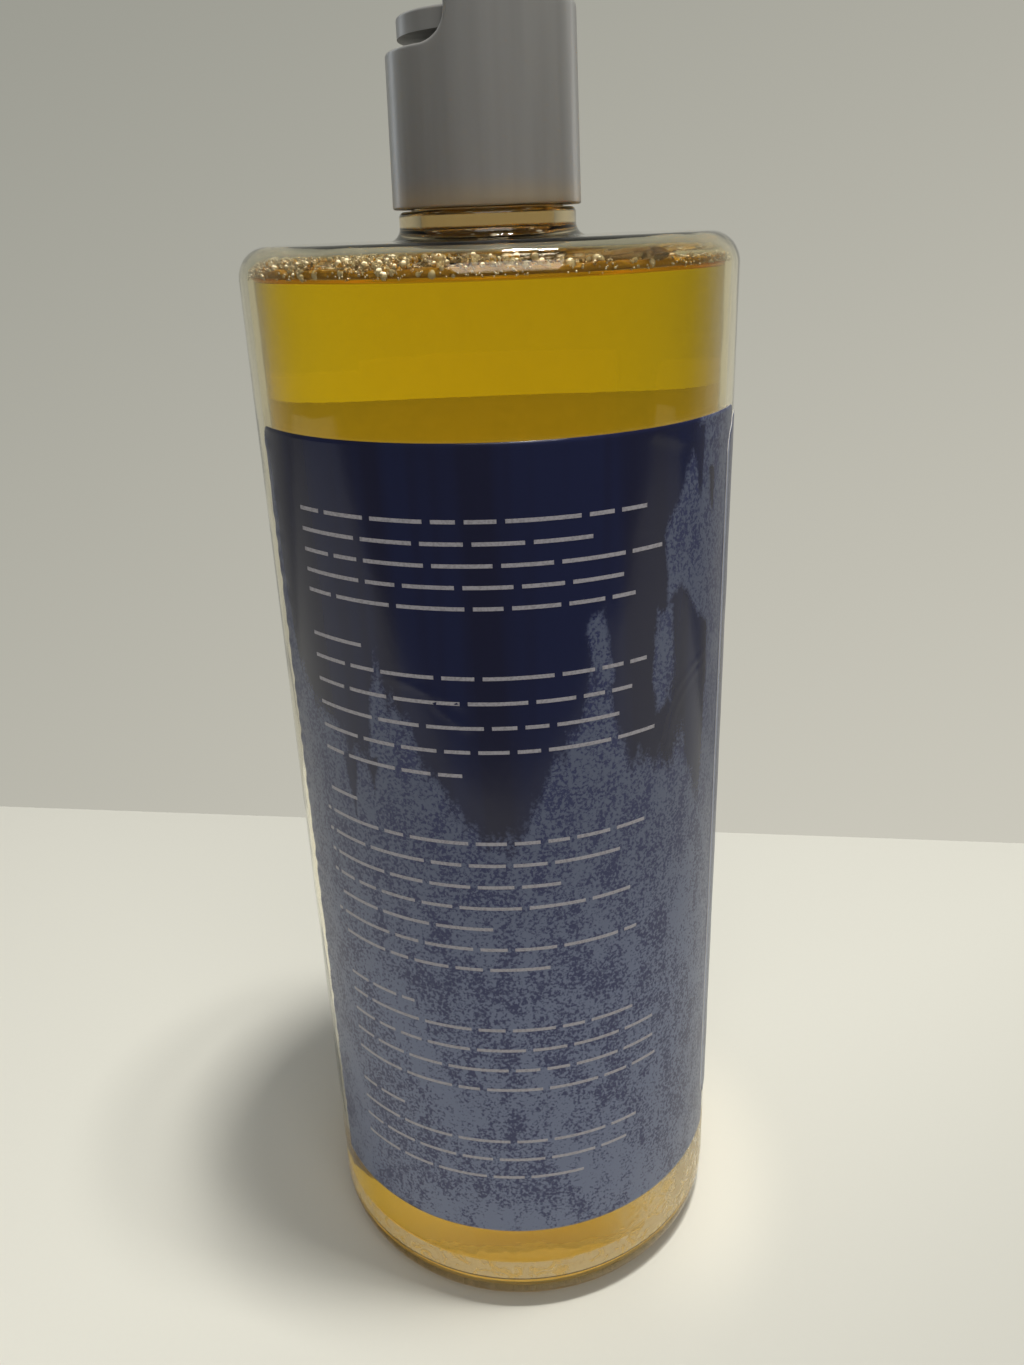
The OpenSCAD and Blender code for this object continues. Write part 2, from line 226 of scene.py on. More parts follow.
class StageSizes(bpy.types.PropertyGroup):
    """Floor, lights and camera"""
    wall_high: colour("Wall above", "Colour behind the object, up and left", (0.31, 0.31, 0.27))
    wall_low: colour("Wall below", "Colour behind the object, down and right", (0.62, 0.60, 0.52))
    room_colour: colour("Room", "Colour that gloss shows of the room in front", (0.075, 0.075, 0.07))
    floor_colour: colour("Floor", "Colour of the floor", (0.76, 0.75, 0.665))
    floor_glow: colour("Glow", "Floor where the bottle throws light on it", (0.82, 0.80, 0.70))
    floor_front: length("Floor front edge", "Near edge of the floor before the axis", 0.26)
    floor_back: length("Floor back edge", "Far edge of the floor behind the axis", 0.152)
    floor_turn: amount("Floor turn", "Slope of the far edge, as rise of Y over X", -0.15)
    ambient: amount("Ambient", "Strength of the light from all round", 0.24)
    under_light: amount("Light below", "Power of the light under the base, in watts", 0.004)
    shade: amount("Shade", "Share of the floor's colour left towards the front right", 0.77)
    camera_y: length("Camera y", "Place of the camera along Y", -0.19463, -10, 10)
    camera_z: length("Camera z", "Height of the camera", 0.20379)
    pitch: angle("Pitch", "Camera's tilt below the horizon", 22.911)
    yaw: angle("Yaw", "Camera's turn", -0.3443)
    roll: angle("Roll", "Camera's roll", -2.1393)
    lens: amount("Lens", "Focal length in millimetres", 28.332)


def arc(centre, radius, start, end, steps):
    """Points on a circle round centre (r, z), from start to end degrees."""
    a = np.radians(np.linspace(start, end, steps + 1))
    return np.stack([centre[0] + radius * np.cos(a), centre[1] + radius * np.sin(a)], 1)


def line(start, end, steps=1, ease=0.0):
    """Points from start to end, spread evenly by steps. With ease, one more point stands that far
    inside each end, so that the shading of the ends doesn't spread over the whole line."""
    start, end = np.array(start, float), np.array(end, float)
    t = np.linspace(0, 1, steps + 1)
    if ease:
        near = ease / np.linalg.norm(end - start)
        t = np.unique(np.concatenate([t, [near, 1 - near]]))
    return start + (end - start) * t[:, None]


def trace(*parts):
    """One profile from parts, without the doubles where they meet."""
    points = np.concatenate(parts)
    step = np.linalg.norm(np.diff(points, axis=0), axis=1)
    return points[np.concatenate([[True], step > 1e-8])]


def ripple(x, y, size, seed, waves=16):
    """Smooth noise of about unit height: the sum of cosines along random directions, whose wave
    lengths lie round size."""
    rng = np.random.default_rng(seed)
    shape = (-1,) + (1,) * np.ndim(x)
    turn = rng.uniform(0, 2 * math.pi, waves).reshape(shape)
    phase = rng.uniform(0, 2 * math.pi, waves).reshape(shape)
    step = 2 * math.pi / (size * rng.uniform(0.7, 1.6, waves).reshape(shape))
    along = (x * np.cos(turn) + y * np.sin(turn)) * step + phase
    return np.cos(along).sum(0) / math.sqrt(waves / 2)


def smooth(value, low, high):
    """0 below low, 1 above high and the usual smooth step between."""
    t = np.clip((value - low) / (high - low), 0, 1)
    return t * t * (3 - 2 * t)


def weld(points, quads):
    """Joins points that coincide to a ten-thousandth of a millimetre, turns the quads that lose a
    side into triangles and drops the ones that lose two. Returns the points, the faces, the quad
    that each face came from and the first old point of each new one."""
    keys = np.round(points / 1e-7).astype(np.int64)
    _, first, inverse = np.unique(keys, axis=0, return_index=True, return_inverse=True)
    quads = inverse.reshape(-1)[quads]
    same = quads == np.roll(quads, -1, axis=1)
    lost = same.sum(1)
    source = np.arange(len(quads))
    # A triangle keeps the three corners that follow the doubled one
    at = same[lost == 1].argmax(1)[:, None]
    triangles = np.take_along_axis(quads[lost == 1], (at + np.array([[1, 2, 3]])) % 4, 1)
    faces = quads[lost == 0].tolist() + triangles.tolist()
    return points[first], faces, np.concatenate([source[lost == 0], source[lost == 1]]), first


def cells(rows, columns, wrap_rows=False, wrap_columns=False):
    """Point numbers of the four corners of each cell in a grid of rows by columns points."""
    index = np.arange(rows * columns).reshape(rows, columns)
    if wrap_rows:
        index = np.concatenate([index, index[:1]])
    if wrap_columns:
        index = np.concatenate([index, index[:, :1]], 1)
    return np.stack([index[:-1, :-1], index[:-1, 1:], index[1:, 1:], index[1:, :-1]], -1)


def set_field(piece, name, values):
    """Gives a mesh an attribute that holds one number at each point."""
    field = piece.data.attributes.new(name, "FLOAT", "POINT")
    field.data.foreach_set("value", values.reshape(-1).astype(np.float32))


def surface(name, grid, wrap_rows=False, wrap_columns=True, row_slots=None, fields=None):
    """Mesh of a grid of points (rows, columns, 3). Each cell is one face, and its normal is the
    column direction crossed with the row direction. Coinciding points are welded, so poles and
    folded edges close. row_slots gives each row of cells its material, and fields gives
    attributes that hold one number at each point."""
    quads = cells(*grid.shape[:2], wrap_rows, wrap_columns)
    slots = np.zeros(quads.shape[:2], int)
    if row_slots is not None:
        slots += np.array(row_slots)[:, None]
    points, faces, source, first = weld(grid.reshape(-1, 3), quads.reshape(-1, 4))
    piece = new_piece(name, points, faces)
    piece.data.polygons.foreach_set("material_index",
                                    slots.reshape(-1)[source].astype(np.int32))
    for key, values in (fields or {}).items():
        set_field(piece, key, values.reshape(-1)[first])
    return piece


def new_piece(name, points, faces):
    """A smooth mesh object of points and faces, in the scene."""
    mesh = bpy.data.meshes.new(name)
    mesh.from_pydata(points.tolist(), [], faces)
    mesh.polygons.foreach_set("use_smooth", np.ones(len(faces), bool))
    mesh.update()
    piece = bpy.data.objects.new(name, mesh)
    bpy.context.scene.collection.objects.link(piece)
    return piece


def polar(r, a, z):
    """Points at radius r, angle a from -Y towards +X, and height z."""
    r, a, z = np.broadcast_arrays(r, a, z)
    return np.stack([r * np.sin(a), -r * np.cos(a), z], -1)


def turned(profile, columns):
    """Grid of a profile of (r, z) points turned round the Z axis."""
    a = np.linspace(0, 2 * math.pi, columns, endpoint=False)
    return polar(profile[:, :1], a[None], profile[:, 1:])


def thread_height(a, z, start, pitch, turns, root, crest):
    """Height from 0 to 1 of a helical ridge at angle a and height z. Its middle rises from start
    by one pitch a turn, its section is a trapezium from root to crest wide, and it fades in and
    out over a fifth of its length."""
    total = np.zeros(np.broadcast(a, z).shape)
    for turn in range(int(turns) + 1):
        share = (a / (2 * math.pi) + turn) / turns
        middle = start + pitch * turns * share
        flank = np.clip((root / 2 - np.abs(z - middle)) / ((root - crest) / 2), 0, 1)
        ends = np.clip(0.15 + 5 * np.minimum(share, 1 - share), 0, 1) * (share <= 1)
        total = np.maximum(total, flank * ends)
    return total


def finish_piece(piece, body, slot, materials, *nodes):
    """Gives a piece its materials and its body, and hides the CAD nodes that it stands for. slot is
    not used.
    """
    for material in materials:
        piece.data.materials.append(material)
    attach(piece, body)
    if nodes:
        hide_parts(*nodes)
    return piece


def scaled(shade, share):
    """A colour times share."""
    return tuple(share * c for c in shade)


class Nodes:
    """The node tree of a new material, or of the world, with short calls to add and link nodes."""

    def __init__(self, name, owners="materials"):
        self.material = getattr(bpy.data, owners).new(name)
        self.material.use_nodes = True
        self.tree = self.material.node_tree
        self.shader = self.tree.nodes.get("Principled BSDF")
        self.output = self.tree.nodes.get("Material Output") or self.tree.nodes["World Output"]

    def add(self, kind, inputs=None, **settings):
        """A new node with its settings and inputs; an input may be a value or a socket."""
        node = self.tree.nodes.new(kind)
        for key, value in settings.items():
            setattr(node, key, value)
        for key, value in (inputs or {}).items():
            self.set(node, key, value)
        return node

    def set(self, node, key, value):
        """Sets an input to a value, or links a socket to it."""
        socket = node.inputs[key]
        if isinstance(value, bpy.types.NodeSocket):
            self.tree.links.new(value, socket)
        elif hasattr(socket.default_value, "__len__") and len(value) < len(socket.default_value):
            socket.default_value = (*value, 1.0)
        else:
            socket.default_value = value

    def principled(self, **inputs):
        """Sets the Principled shader's sockets, with underscores for spaces in their names."""
        for key, value in inputs.items():
            self.set(self.shader, key.replace("_", " "), value)

    def object_point(self, scale=(1, 1, 1)):
        """The surface point in the piece's own coordinates, scaled along each axis."""
        place = self.add("ShaderNodeTexCoord")
        return self.add("ShaderNodeMapping",
                        {"Vector": place.outputs["Object"], "Scale": scale}).outputs[0]

    def height(self):
        """The surface point's height in the piece's own coordinates."""
        return self.add("ShaderNodeSeparateXYZ", {"Vector": self.object_point()}).outputs["Z"]

    def noise(self, point, scale, detail=3.0, roughness=0.5, distortion=0.0):
        """Noise from 0 to 1 with features of about 1 / scale metres."""
        return self.add("ShaderNodeTexNoise",
                        {"Vector": point, "Scale": scale, "Detail": detail,
                         "Roughness": roughness, "Distortion": distortion}).outputs["Fac"]

    def field(self, name):
        """A number that the mesh holds at each point."""
        return self.add("ShaderNodeAttribute", attribute_name=name).outputs["Fac"]

    def math(self, operation, *values, clamp=False):
        """A Math node on sockets or numbers."""
        node = self.add("ShaderNodeMath", operation=operation, use_clamp=clamp)
        for k, value in enumerate(values):
            self.set(node, k, value)
        return node.outputs[0]

    def ramp(self, value, low, high, start=0.0, end=1.0):
        """value spread from low..high to start..end, smooth and clamped."""
        return self.add("ShaderNodeMapRange",
                        {"Value": value, "From Min": low, "From Max": high, "To Min": start,
                         "To Max": end}, interpolation_type="SMOOTHSTEP").outputs[0]

    def mix(self, factor, one, other):
        """A colour between one and other."""
        node = self.add("ShaderNodeMix", data_type="RGBA")
        self.set(node, 0, factor)
        self.set(node, 6, one)
        self.set(node, 7, other)
        return node.outputs[2]

    def bump(self, height, strength, distance):
        """Links a height to the shader's normal."""
        node = self.add("ShaderNodeBump",
                        {"Height": height, "Strength": strength, "Distance": distance})
        self.set(self.shader, "Normal", node.outputs[0])


def clear_plastic(tint, neck_tint, neck_z):
    """Clear blown plastic with a faint waviness, more deeply tinted in the neck."""
    n = Nodes("clear_plastic")
    wave = n.noise(n.object_point((1, 1, 0.35)), 120.0, 2.0)
    height = n.height()
    n.principled(Base_Color=n.mix(n.ramp(height, neck_z, neck_z + 1 * MM), tint, neck_tint),
                 Roughness=0.015, IOR=1.5, Transmission_Weight=1.0)
    swell = n.noise(n.object_point(), 75.0, 1.0)
    heave = n.math("MULTIPLY", n.math("MULTIPLY", swell, 8.0),
                   n.ramp(height, neck_z - 3 * MM, neck_z + 1 * MM))
    n.bump(n.math("ADD", wave, heave), 0.15, 0.4 * MM)
    return n.material


def heel_plastic(tint, heel_tint, cloud, part_z, band_z):
    """Clear plastic round the foot of the bottle: deeper in colour below the parting line, with a
    cloudy band above it and crinkled, cloudy patches towards +X. The cloudy parts glow faintly in
    their own colour, a painted glow for the light they scatter."""
    n = Nodes("heel_plastic")
    point = n.object_point()
    place = n.add("ShaderNodeSeparateXYZ", {"Vector": point}).outputs
    angle = n.math("ARCTAN2", place["X"], n.math("MULTIPLY", place["Y"], -1.0))
    grain = n.noise(point, 330.0, 4.0, 0.6, 1.0)
    over = n.ramp(place["Z"], part_z, part_z + 0.2 * MM)
    band = n.math("MULTIPLY", n.ramp(place["Z"], band_z + 0.8 * MM, band_z), 0.5)
    # The patches come in from 17 to 54 degrees and go out from 92 to 126
    patches = n.math("MULTIPLY", n.ramp(angle, 0.3, 0.95), n.ramp(angle, 2.2, 1.6, 0.0, 0.7))
    cover = n.math("MULTIPLY", n.math("MAXIMUM", band, patches), over)
    cover = n.math("MULTIPLY", cover, n.ramp(grain, 0.34, 0.6, 0.25, 1.0))
    off = n.math("ABSOLUTE", n.math("SUBTRACT", place["Z"], part_z))
    seam = n.ramp(off, 0.24 * MM, 0.1 * MM)
    clear = n.mix(over, heel_tint, tint)
    colour_here = n.mix(seam, n.mix(cover, clear, cloud), scaled(cloud, 0.2))
    solid = n.math("MAXIMUM", cover, n.math("MULTIPLY", seam, 0.6))
    # Painted light: the emission makes the cloudy parts glow faintly, for the light that they
    # scatter
    n.principled(Base_Color=colour_here, Roughness=n.ramp(cover, 0, 1, 0.015, 0.45), IOR=1.5,
                 Transmission_Weight=n.math("SUBTRACT", 1.0, solid),
                 Specular_Tint=(1.0, 0.8, 0.35), Emission_Color=cloud,
                 Emission_Strength=n.math("MULTIPLY", cover, 0.25))
    n.bump(n.math("ADD", n.math("MULTIPLY", grain, cover),
                  n.math("MULTIPLY", n.noise(point, 90.0), 0.4)), 0.5, 0.5 * MM)
    return n.material


def soap_liquid(clear, density):
    """Clear amber liquid, whose colour comes from its depth."""
    n = Nodes("soap_liquid")
    mottle = n.noise(n.object_point((1, 1, 0.6)), 330.0, 3.0, 0.6, 1.5)
    n.principled(Base_Color=n.mix(n.ramp(mottle, 0.35, 0.62), (0.97, 0.97, 0.97), (1, 1, 1)),
                 Roughness=0.0, IOR=1.36, Transmission_Weight=1.0,
                 Specular_Tint=(1.0, 0.8, 0.15))
    depth = n.add("ShaderNodeVolumeAbsorption", {"Color": clear, "Density": density})
    n.tree.links.new(depth.outputs[0], n.output.inputs["Volume"])
    cloud = n.noise(n.object_point((1, 1, 0.4)), 260.0, 3.0)
    n.bump(cloud, 0.08, 0.3 * MM)
    return n.material


def foam_film(wet):
    """Wet film between the bubbles."""
    n = Nodes("foam_film")
    lumps = n.noise(n.object_point(), 900.0, 3.0)
    n.principled(Base_Color=n.mix(lumps, wet, scaled(wet, 0.5)), Roughness=0.3,
                 IOR=1.33)
    n.bump(lumps, 0.6, 0.5 * MM)
    return n.material


def foam_bubble(name, pale, wet, clear, ior):
    """Glossy bubbles, whose milky body stands for the many thin walls in a heap of them. clear
    is the share of the light that passes through. The mesh's glint field paints a highlight on
    each one, as the lamps make on wet bubbles."""
    n = Nodes(name)
    tone = n.noise(n.object_point(), 650.0, 2.0)
    n.principled(Base_Color=n.mix(n.ramp(tone, 0.32, 0.46), wet, pale), Roughness=0.06,
                 IOR=ior, Transmission_Weight=clear, Emission_Color=(1.0, 0.97, 0.9),
                 Emission_Strength=n.field("glint"))
    return n.material


def label_ground(name, s):
    """Glossy printed film in the colours of the label settings s. The mesh's scuff and reflection
    field
    says where its surface is scuffed and rougher, and where it shows a painted reflection of the
    room:
    there a fine mottle of slate, paler low down, lies on navy, and elsewhere the ground is nearly
    black. The reflection smear field closes that painted mottle up, and the edge field is 1 where a
    pale painted highlight lies along the front label's cut lapping edge."""
    n = Nodes(name)
    haze = n.field("haze")
    fine = n.noise(n.object_point(), 1700.0, 3.0, 0.6, 0.3)
    broad = n.noise(n.object_point((1, 1, 0.55)), 260.0, 3.0, 0.6, 0.6)
    wisps = n.noise(n.object_point((1, 1, 0.22)), 480.0, 2.0)
    cover = n.math("ADD", n.math("MULTIPLY", fine, 0.66), n.math("MULTIPLY", broad, 0.34))
    cover = n.math("ADD", cover, n.math("MULTIPLY", n.field("smear"), 0.06))
    rough_edge = n.math("ADD", n.math("MULTIPLY", fine, 0.5), wisps)
    # Painted reflection of the room on the scuffed film: a mottle of slate, paler low down, on navy
    reflection_mask = n.ramp(n.math("ADD", haze, rough_edge), 1.1, 1.6)
    slate_reflection = n.mix(n.ramp(n.height(), s.slate_reflection_high, s.slate_reflection_low), scaled(s.slate_reflection, 0.8),
                  scaled(s.slate_reflection, 1.15))
    reflection_flecks = n.math("MULTIPLY", n.ramp(cover, 0.44, 0.54), reflection_mask)
    streaks = n.noise(n.object_point((1, 1, 0.04)), 140.0, 2.0)
    dark = n.mix(n.ramp(streaks, 0.42, 0.62), s.night, scaled(s.navy, 0.55))
    # Where the painted reflection lies, the ground lifts from near black to navy
    ground = n.mix(reflection_mask, dark, s.navy)
    film = n.mix(reflection_flecks, ground, slate_reflection)
    # Painted highlight where the front label's lapping edge catches the light
    n.principled(Base_Color=n.mix(n.field("worn"), film, s.worn),
                 Roughness=n.ramp(haze, 0, 1, 0.16, 0.32), IOR=1.5)
    n.bump(n.math("ADD", n.math("MULTIPLY", fine, reflection_flecks), n.math("MULTIPLY", broad, 1.5)),
           0.25, 0.06 * MM)
    return n.material


def label_backing(pale, glow, fade_z):
    """Unprinted inner face of a label, seen through the bottle. Its faint glow, weaker towards
    fade_z, stands for the light that goes to and fro in the soap."""
    n = Nodes("label_backing")
    grain = n.noise(n.object_point(), 300.0, 4.0, 0.6)
    height = n.height()
    lit = n.mix(n.ramp(height, 0.3 * fade_z, fade_z), pale, scaled(pale, 0.42))
    n.principled(Base_Color=n.mix(grain, pale, scaled(pale, 0.8)), Roughness=0.6,
                 Emission_Color=lit, Emission_Strength=glow)
    return n.material


def print_ink(shade):
    """Pale printed dashes, a little worn."""
    n = Nodes("print_ink")
    worn = n.noise(n.object_point(), 2500.0, 3.0)
    n.principled(Base_Color=n.mix(n.ramp(worn, 0.4, 0.7), shade, scaled(shade, 0.7)),
                 Roughness=0.35)
    return n.material


def moulded_grey(grey, painted_amber_light, rim_z):
    """Satin moulded plastic with faint upright flow lines, warmer towards the cap's rim, where
    painted amber light stands for the soap's colour shining up into it.
    """
    n = Nodes("moulded_grey")
    flow = n.noise(n.object_point((1, 1, 0.05)), 260.0, 2.0)
    grain = n.noise(n.object_point(), 2600.0)
    height = n.height()
    # Painted light: the rim turns warm where the soap's amber shines up into it
    tone = n.mix(n.ramp(height, rim_z, rim_z + 5 * MM), painted_amber_light, grey)
    n.principled(Base_Color=n.mix(n.ramp(flow, 0.3, 0.7, 0.0, 0.15), tone, (0.02, 0.02, 0.02)),
                 Roughness=n.ramp(flow, 0.3, 0.7, 0.3, 0.42), IOR=1.49)
    n.bump(n.math("ADD", n.math("MULTIPLY", flow, 3.0), n.math("MULTIPLY", grain, 0.15)),
           0.2, 0.08 * MM)
    return n.material


def liner_white():
    """White foam sheet."""
    n = Nodes("liner_white")
    cells = n.noise(n.object_point(), 3000.0)
    n.principled(Base_Color=n.mix(cells, (0.8, 0.8, 0.77), (0.7, 0.7, 0.67)), Roughness=0.8)
    n.bump(cells, 0.3, 0.1 * MM)
    return n.material


class SOAP_OT_bottle(bpy.types.Operator):
    """The clear blown bottle: one closed wall from its pushed-up base to its threaded neck"""
    bl_idname = "soap.bottle"
    bl_label = "Bottle"

    def execute(self, context):
        s = context.scene.soap_bottle
        heel = BODY_R - s.heel_r
        dome_a = heel - s.foot
        dome_r = (dome_a ** 2 + s.punt ** 2) / (2 * s.punt)
        dome_z = s.punt - dome_r
        rim = math.degrees(math.asin(dome_a / dome_r))
        shoulder = s.shoulder_z - s.shoulder_r
        corner = BODY_R - s.shoulder_r
        bead_top = s.shoulder_z + s.bead_h
        under = s.shoulder_z - s.wall
        inner_r = BODY_R - s.wall
        # The inner floor is flat from the heel to where the inner dome rises out of it
        inner_dome = dome_r + s.wall
        floor_r = math.sqrt(inner_dome ** 2 - (s.wall - dome_z) ** 2)
        floor_a = math.degrees(math.asin(floor_r / inner_dome))
        lip = 0.4 * MM
        covered = BACK_LOW.z + 0.2 * MM
        outer = trace(
            arc((0, dome_z), dome_r, 90, 90 - rim, 24),
            line((dome_a, 0), (heel, 0), 1, 0.2 * MM),
            arc((heel, s.heel_r), s.heel_r, -90, 0, 20),
            line((BODY_R, s.heel_r), (BODY_R, covered), 4, 0.4 * MM),
            line((BODY_R, covered), (BODY_R, shoulder), 28, 0.4 * MM),
            arc((corner, shoulder), s.shoulder_r, 0, 90, 20),
            line((corner, s.shoulder_z), (s.bead_r + s.root, s.shoulder_z), 8, 0.3 * MM),
            arc((s.bead_r + s.root, s.shoulder_z + s.root), s.root, -90, -180, 10),
            line((s.bead_r, s.shoulder_z + s.root), (s.bead_r, bead_top - s.bead_edge), 2,
                 0.1 * MM),
            arc((s.bead_r - s.bead_edge, bead_top - s.bead_edge), s.bead_edge, 0, 90, 8),
            line((s.bead_r - s.bead_edge, bead_top), (s.neck_r, bead_top), 2, 0.1 * MM),
            line((s.neck_r, bead_top), (s.neck_r, NECK_TOP - lip), 60, 0.2 * MM),
            arc((s.neck_r - lip, NECK_TOP - lip), lip, 0, 90, 5),
            line((s.neck_r - lip, NECK_TOP), (s.bore_r, NECK_TOP), 1, 0.1 * MM))
        inner = trace(
            line((s.bore_r, NECK_TOP), (s.bore_r, under + lip), 10, 0.2 * MM),
            arc((s.bore_r + lip, under + lip), lip, 180, 270, 5),
            line((s.bore_r + lip, under), (corner, under), 8, 0.3 * MM),
            arc((corner, shoulder), s.shoulder_r - s.wall, 90, 0, 20),
            line((inner_r, shoulder), (inner_r, s.heel_r), 30, 0.4 * MM),
            arc((heel, s.heel_r), s.heel_r - s.wall, 0, -90, 20),
            line((heel, s.wall), (floor_r, s.wall), 1, 0.2 * MM),
            arc((0, dome_z), inner_dome, 90 - floor_a, 90, 24))
        profile = trace(outer, inner)
        columns = 192
        a = np.linspace(0, 2 * math.pi, columns, endpoint=False)[None]
        r, z = profile[:, :1], profile[:, 1:]
        ridge = thread_height(a, z, s.thread_z, s.pitch, s.turns, s.ridge_root, s.ridge_crest)
        on_neck = (np.abs(r - s.neck_r) < 1e-6) & (z > bead_top + 0.1 * MM)
        r = r + on_neck * ridge * (s.thread_r - s.neck_r)
        # The outer face from the standing ring up to the label's lower edge
        low = (profile[:, 0] > dome_a) & (profile[:, 1] < covered + 1e-6)
        low[len(outer):] = False
        piece = surface("bottle_shell", polar(r, a, z), row_slots=low[:-1] & low[1:])
        finish_piece(piece, "bottle", "clear_plastic",
                     [clear_plastic(s.tint, s.neck_tint, s.shoulder_z),
                      heel_plastic(s.tint, s.heel_tint, s.cloud, s.part_z, s.band_z)], "bottle")
        return {"FINISHED"}


class SOAP_OT_soap(bpy.types.Operator):
    """The liquid, with a curved edge where it climbs the wall"""
    bl_idname = "soap.liquid"
    bl_label = "Liquid soap"

    def execute(self, context):
        b, s = context.scene.soap_bottle, context.scene.soap_liquid
        r = BODY_R - b.wall - s.gap
        level = SOAP_HIGH.z
        climb = 3 * s.meniscus
        heel = BODY_R - b.heel_r
        curve = b.heel_r - b.wall + s.wet
        floor = b.heel_r - curve
        dome_a = heel - b.foot
        dome_r = (dome_a ** 2 + b.punt ** 2) / (2 * b.punt) + b.wall - s.wet
        dome_z = b.punt + b.wall - s.wet - dome_r
        floor_r = math.sqrt(dome_r ** 2 - (floor - dome_z) ** 2)
        rise = math.degrees(math.asin(floor_r / dome_r))
        t = np.linspace(0, 1, 14)[:, None]
        meniscus = np.concatenate([r - climb * t, level + s.meniscus * (1 - t) ** 2.2], 1)
        wet_r = BODY_R - b.wall + s.wet
        profile = trace(
            arc((0, dome_z), dome_r, 90, 90 - rise, 20),
            line((floor_r, floor), (heel, floor), 1, 0.2 * MM),
            arc((heel, b.heel_r), curve, -90, 0, 20),
            line((wet_r, b.heel_r), (wet_r, s.free_to), 80, 0.3 * MM),
            line((r, s.free_to + 1e-7), (r, level + s.meniscus), 20, 0.3 * MM),
            meniscus,
            line((r - climb, level), (0, level), 10, 0.2 * MM))
        columns = 288
        grid = turned(profile, columns)
        a = np.linspace(0, 2 * math.pi, columns, endpoint=False)[None]
        # The liquid draws back from the wall above the labels and along the bare strip
        off = np.abs(np.angle(np.exp(1j * (a - s.free_side))))
        blend = math.radians(5)
        strip = 1 - smooth(off, s.free_half - blend, s.free_half + blend)
        high = profile[:, 1:]
        free = np.maximum(strip * smooth(high, s.wet_to, s.wet_to + 8 * MM),
                          smooth(high, s.free_from, s.free_to))
        wetted = np.abs(profile[:, :1] - wet_r) < 1e-6
        grid[..., :2] *= (1 - wetted * free * (1 - r / wet_r))[..., None]
        piece = surface("liquid_soap", grid)
        finish_piece(piece, "bottle", "liquid_soap", [soap_liquid(s.clear, s.density)], "soap")
        return {"FINISHED"}


# Direction of the painted highlight on a bubble
GLINT_WAY = (0.15, -0.6, 0.78)
# Wide flat bubbles that touch the shoulder, each as its angle in degrees, its distance in from
# the wall and its half sizes along X, Y and Z, all in millimetres
WIDE_BUBBLES = np.array([
    (33, 5.4, 6.5, 4.2, 1.5), (41, 7.6, 4.0, 4.0, 1.2), (-2, 5.6, 3.4, 3.0, 1.1),
    (118, 7.0, 5.0, 4.0, 1.3), (160, 9.0, 3.5, 4.5, 1.3), (205, 8.0, 4.5, 3.5, 1.2)])


def ball(rows, columns):
    """Points and quads of a unit sphere, as latitude rings between two poles."""
    profile = arc((0, 0), 1.0, -90, 90, rows)
    profile[[0, -1], 0] = 0
    grid = turned(profile, columns)
    quads = cells(*grid.shape[:2], wrap_columns=True)
    return weld(grid.reshape(-1, 3), quads.reshape(-1, 4))[:2]


def heap(name, centres, sizes, rows, columns, glints):
    """One mesh of many balls: copies of a unit sphere, each scaled by its size (x, y, z) and set
    at its centre. The glint field is a ball's glint times a spot about GLINT_WAY."""
    points, faces = ball(rows, columns)
    everywhere = centres[:, None] + points[None] * sizes[:, None]
    start = np.arange(len(centres)) * len(points)
    quads = np.array([f for f in faces if len(f) == 4])
    triangles = np.array([f for f in faces if len(f) == 3])
    all_faces = (start[:, None, None] + quads[None]).reshape(-1, 4).tolist()
    all_faces += (start[:, None, None] + triangles[None]).reshape(-1, 3).tolist()
    piece = new_piece(name, everywhere.reshape(-1, 3), all_faces)
    spot = smooth(points @ np.array(GLINT_WAY), 0.86, 0.97)
    set_field(piece, "glint", glints[:, None] * spot)
    return piece


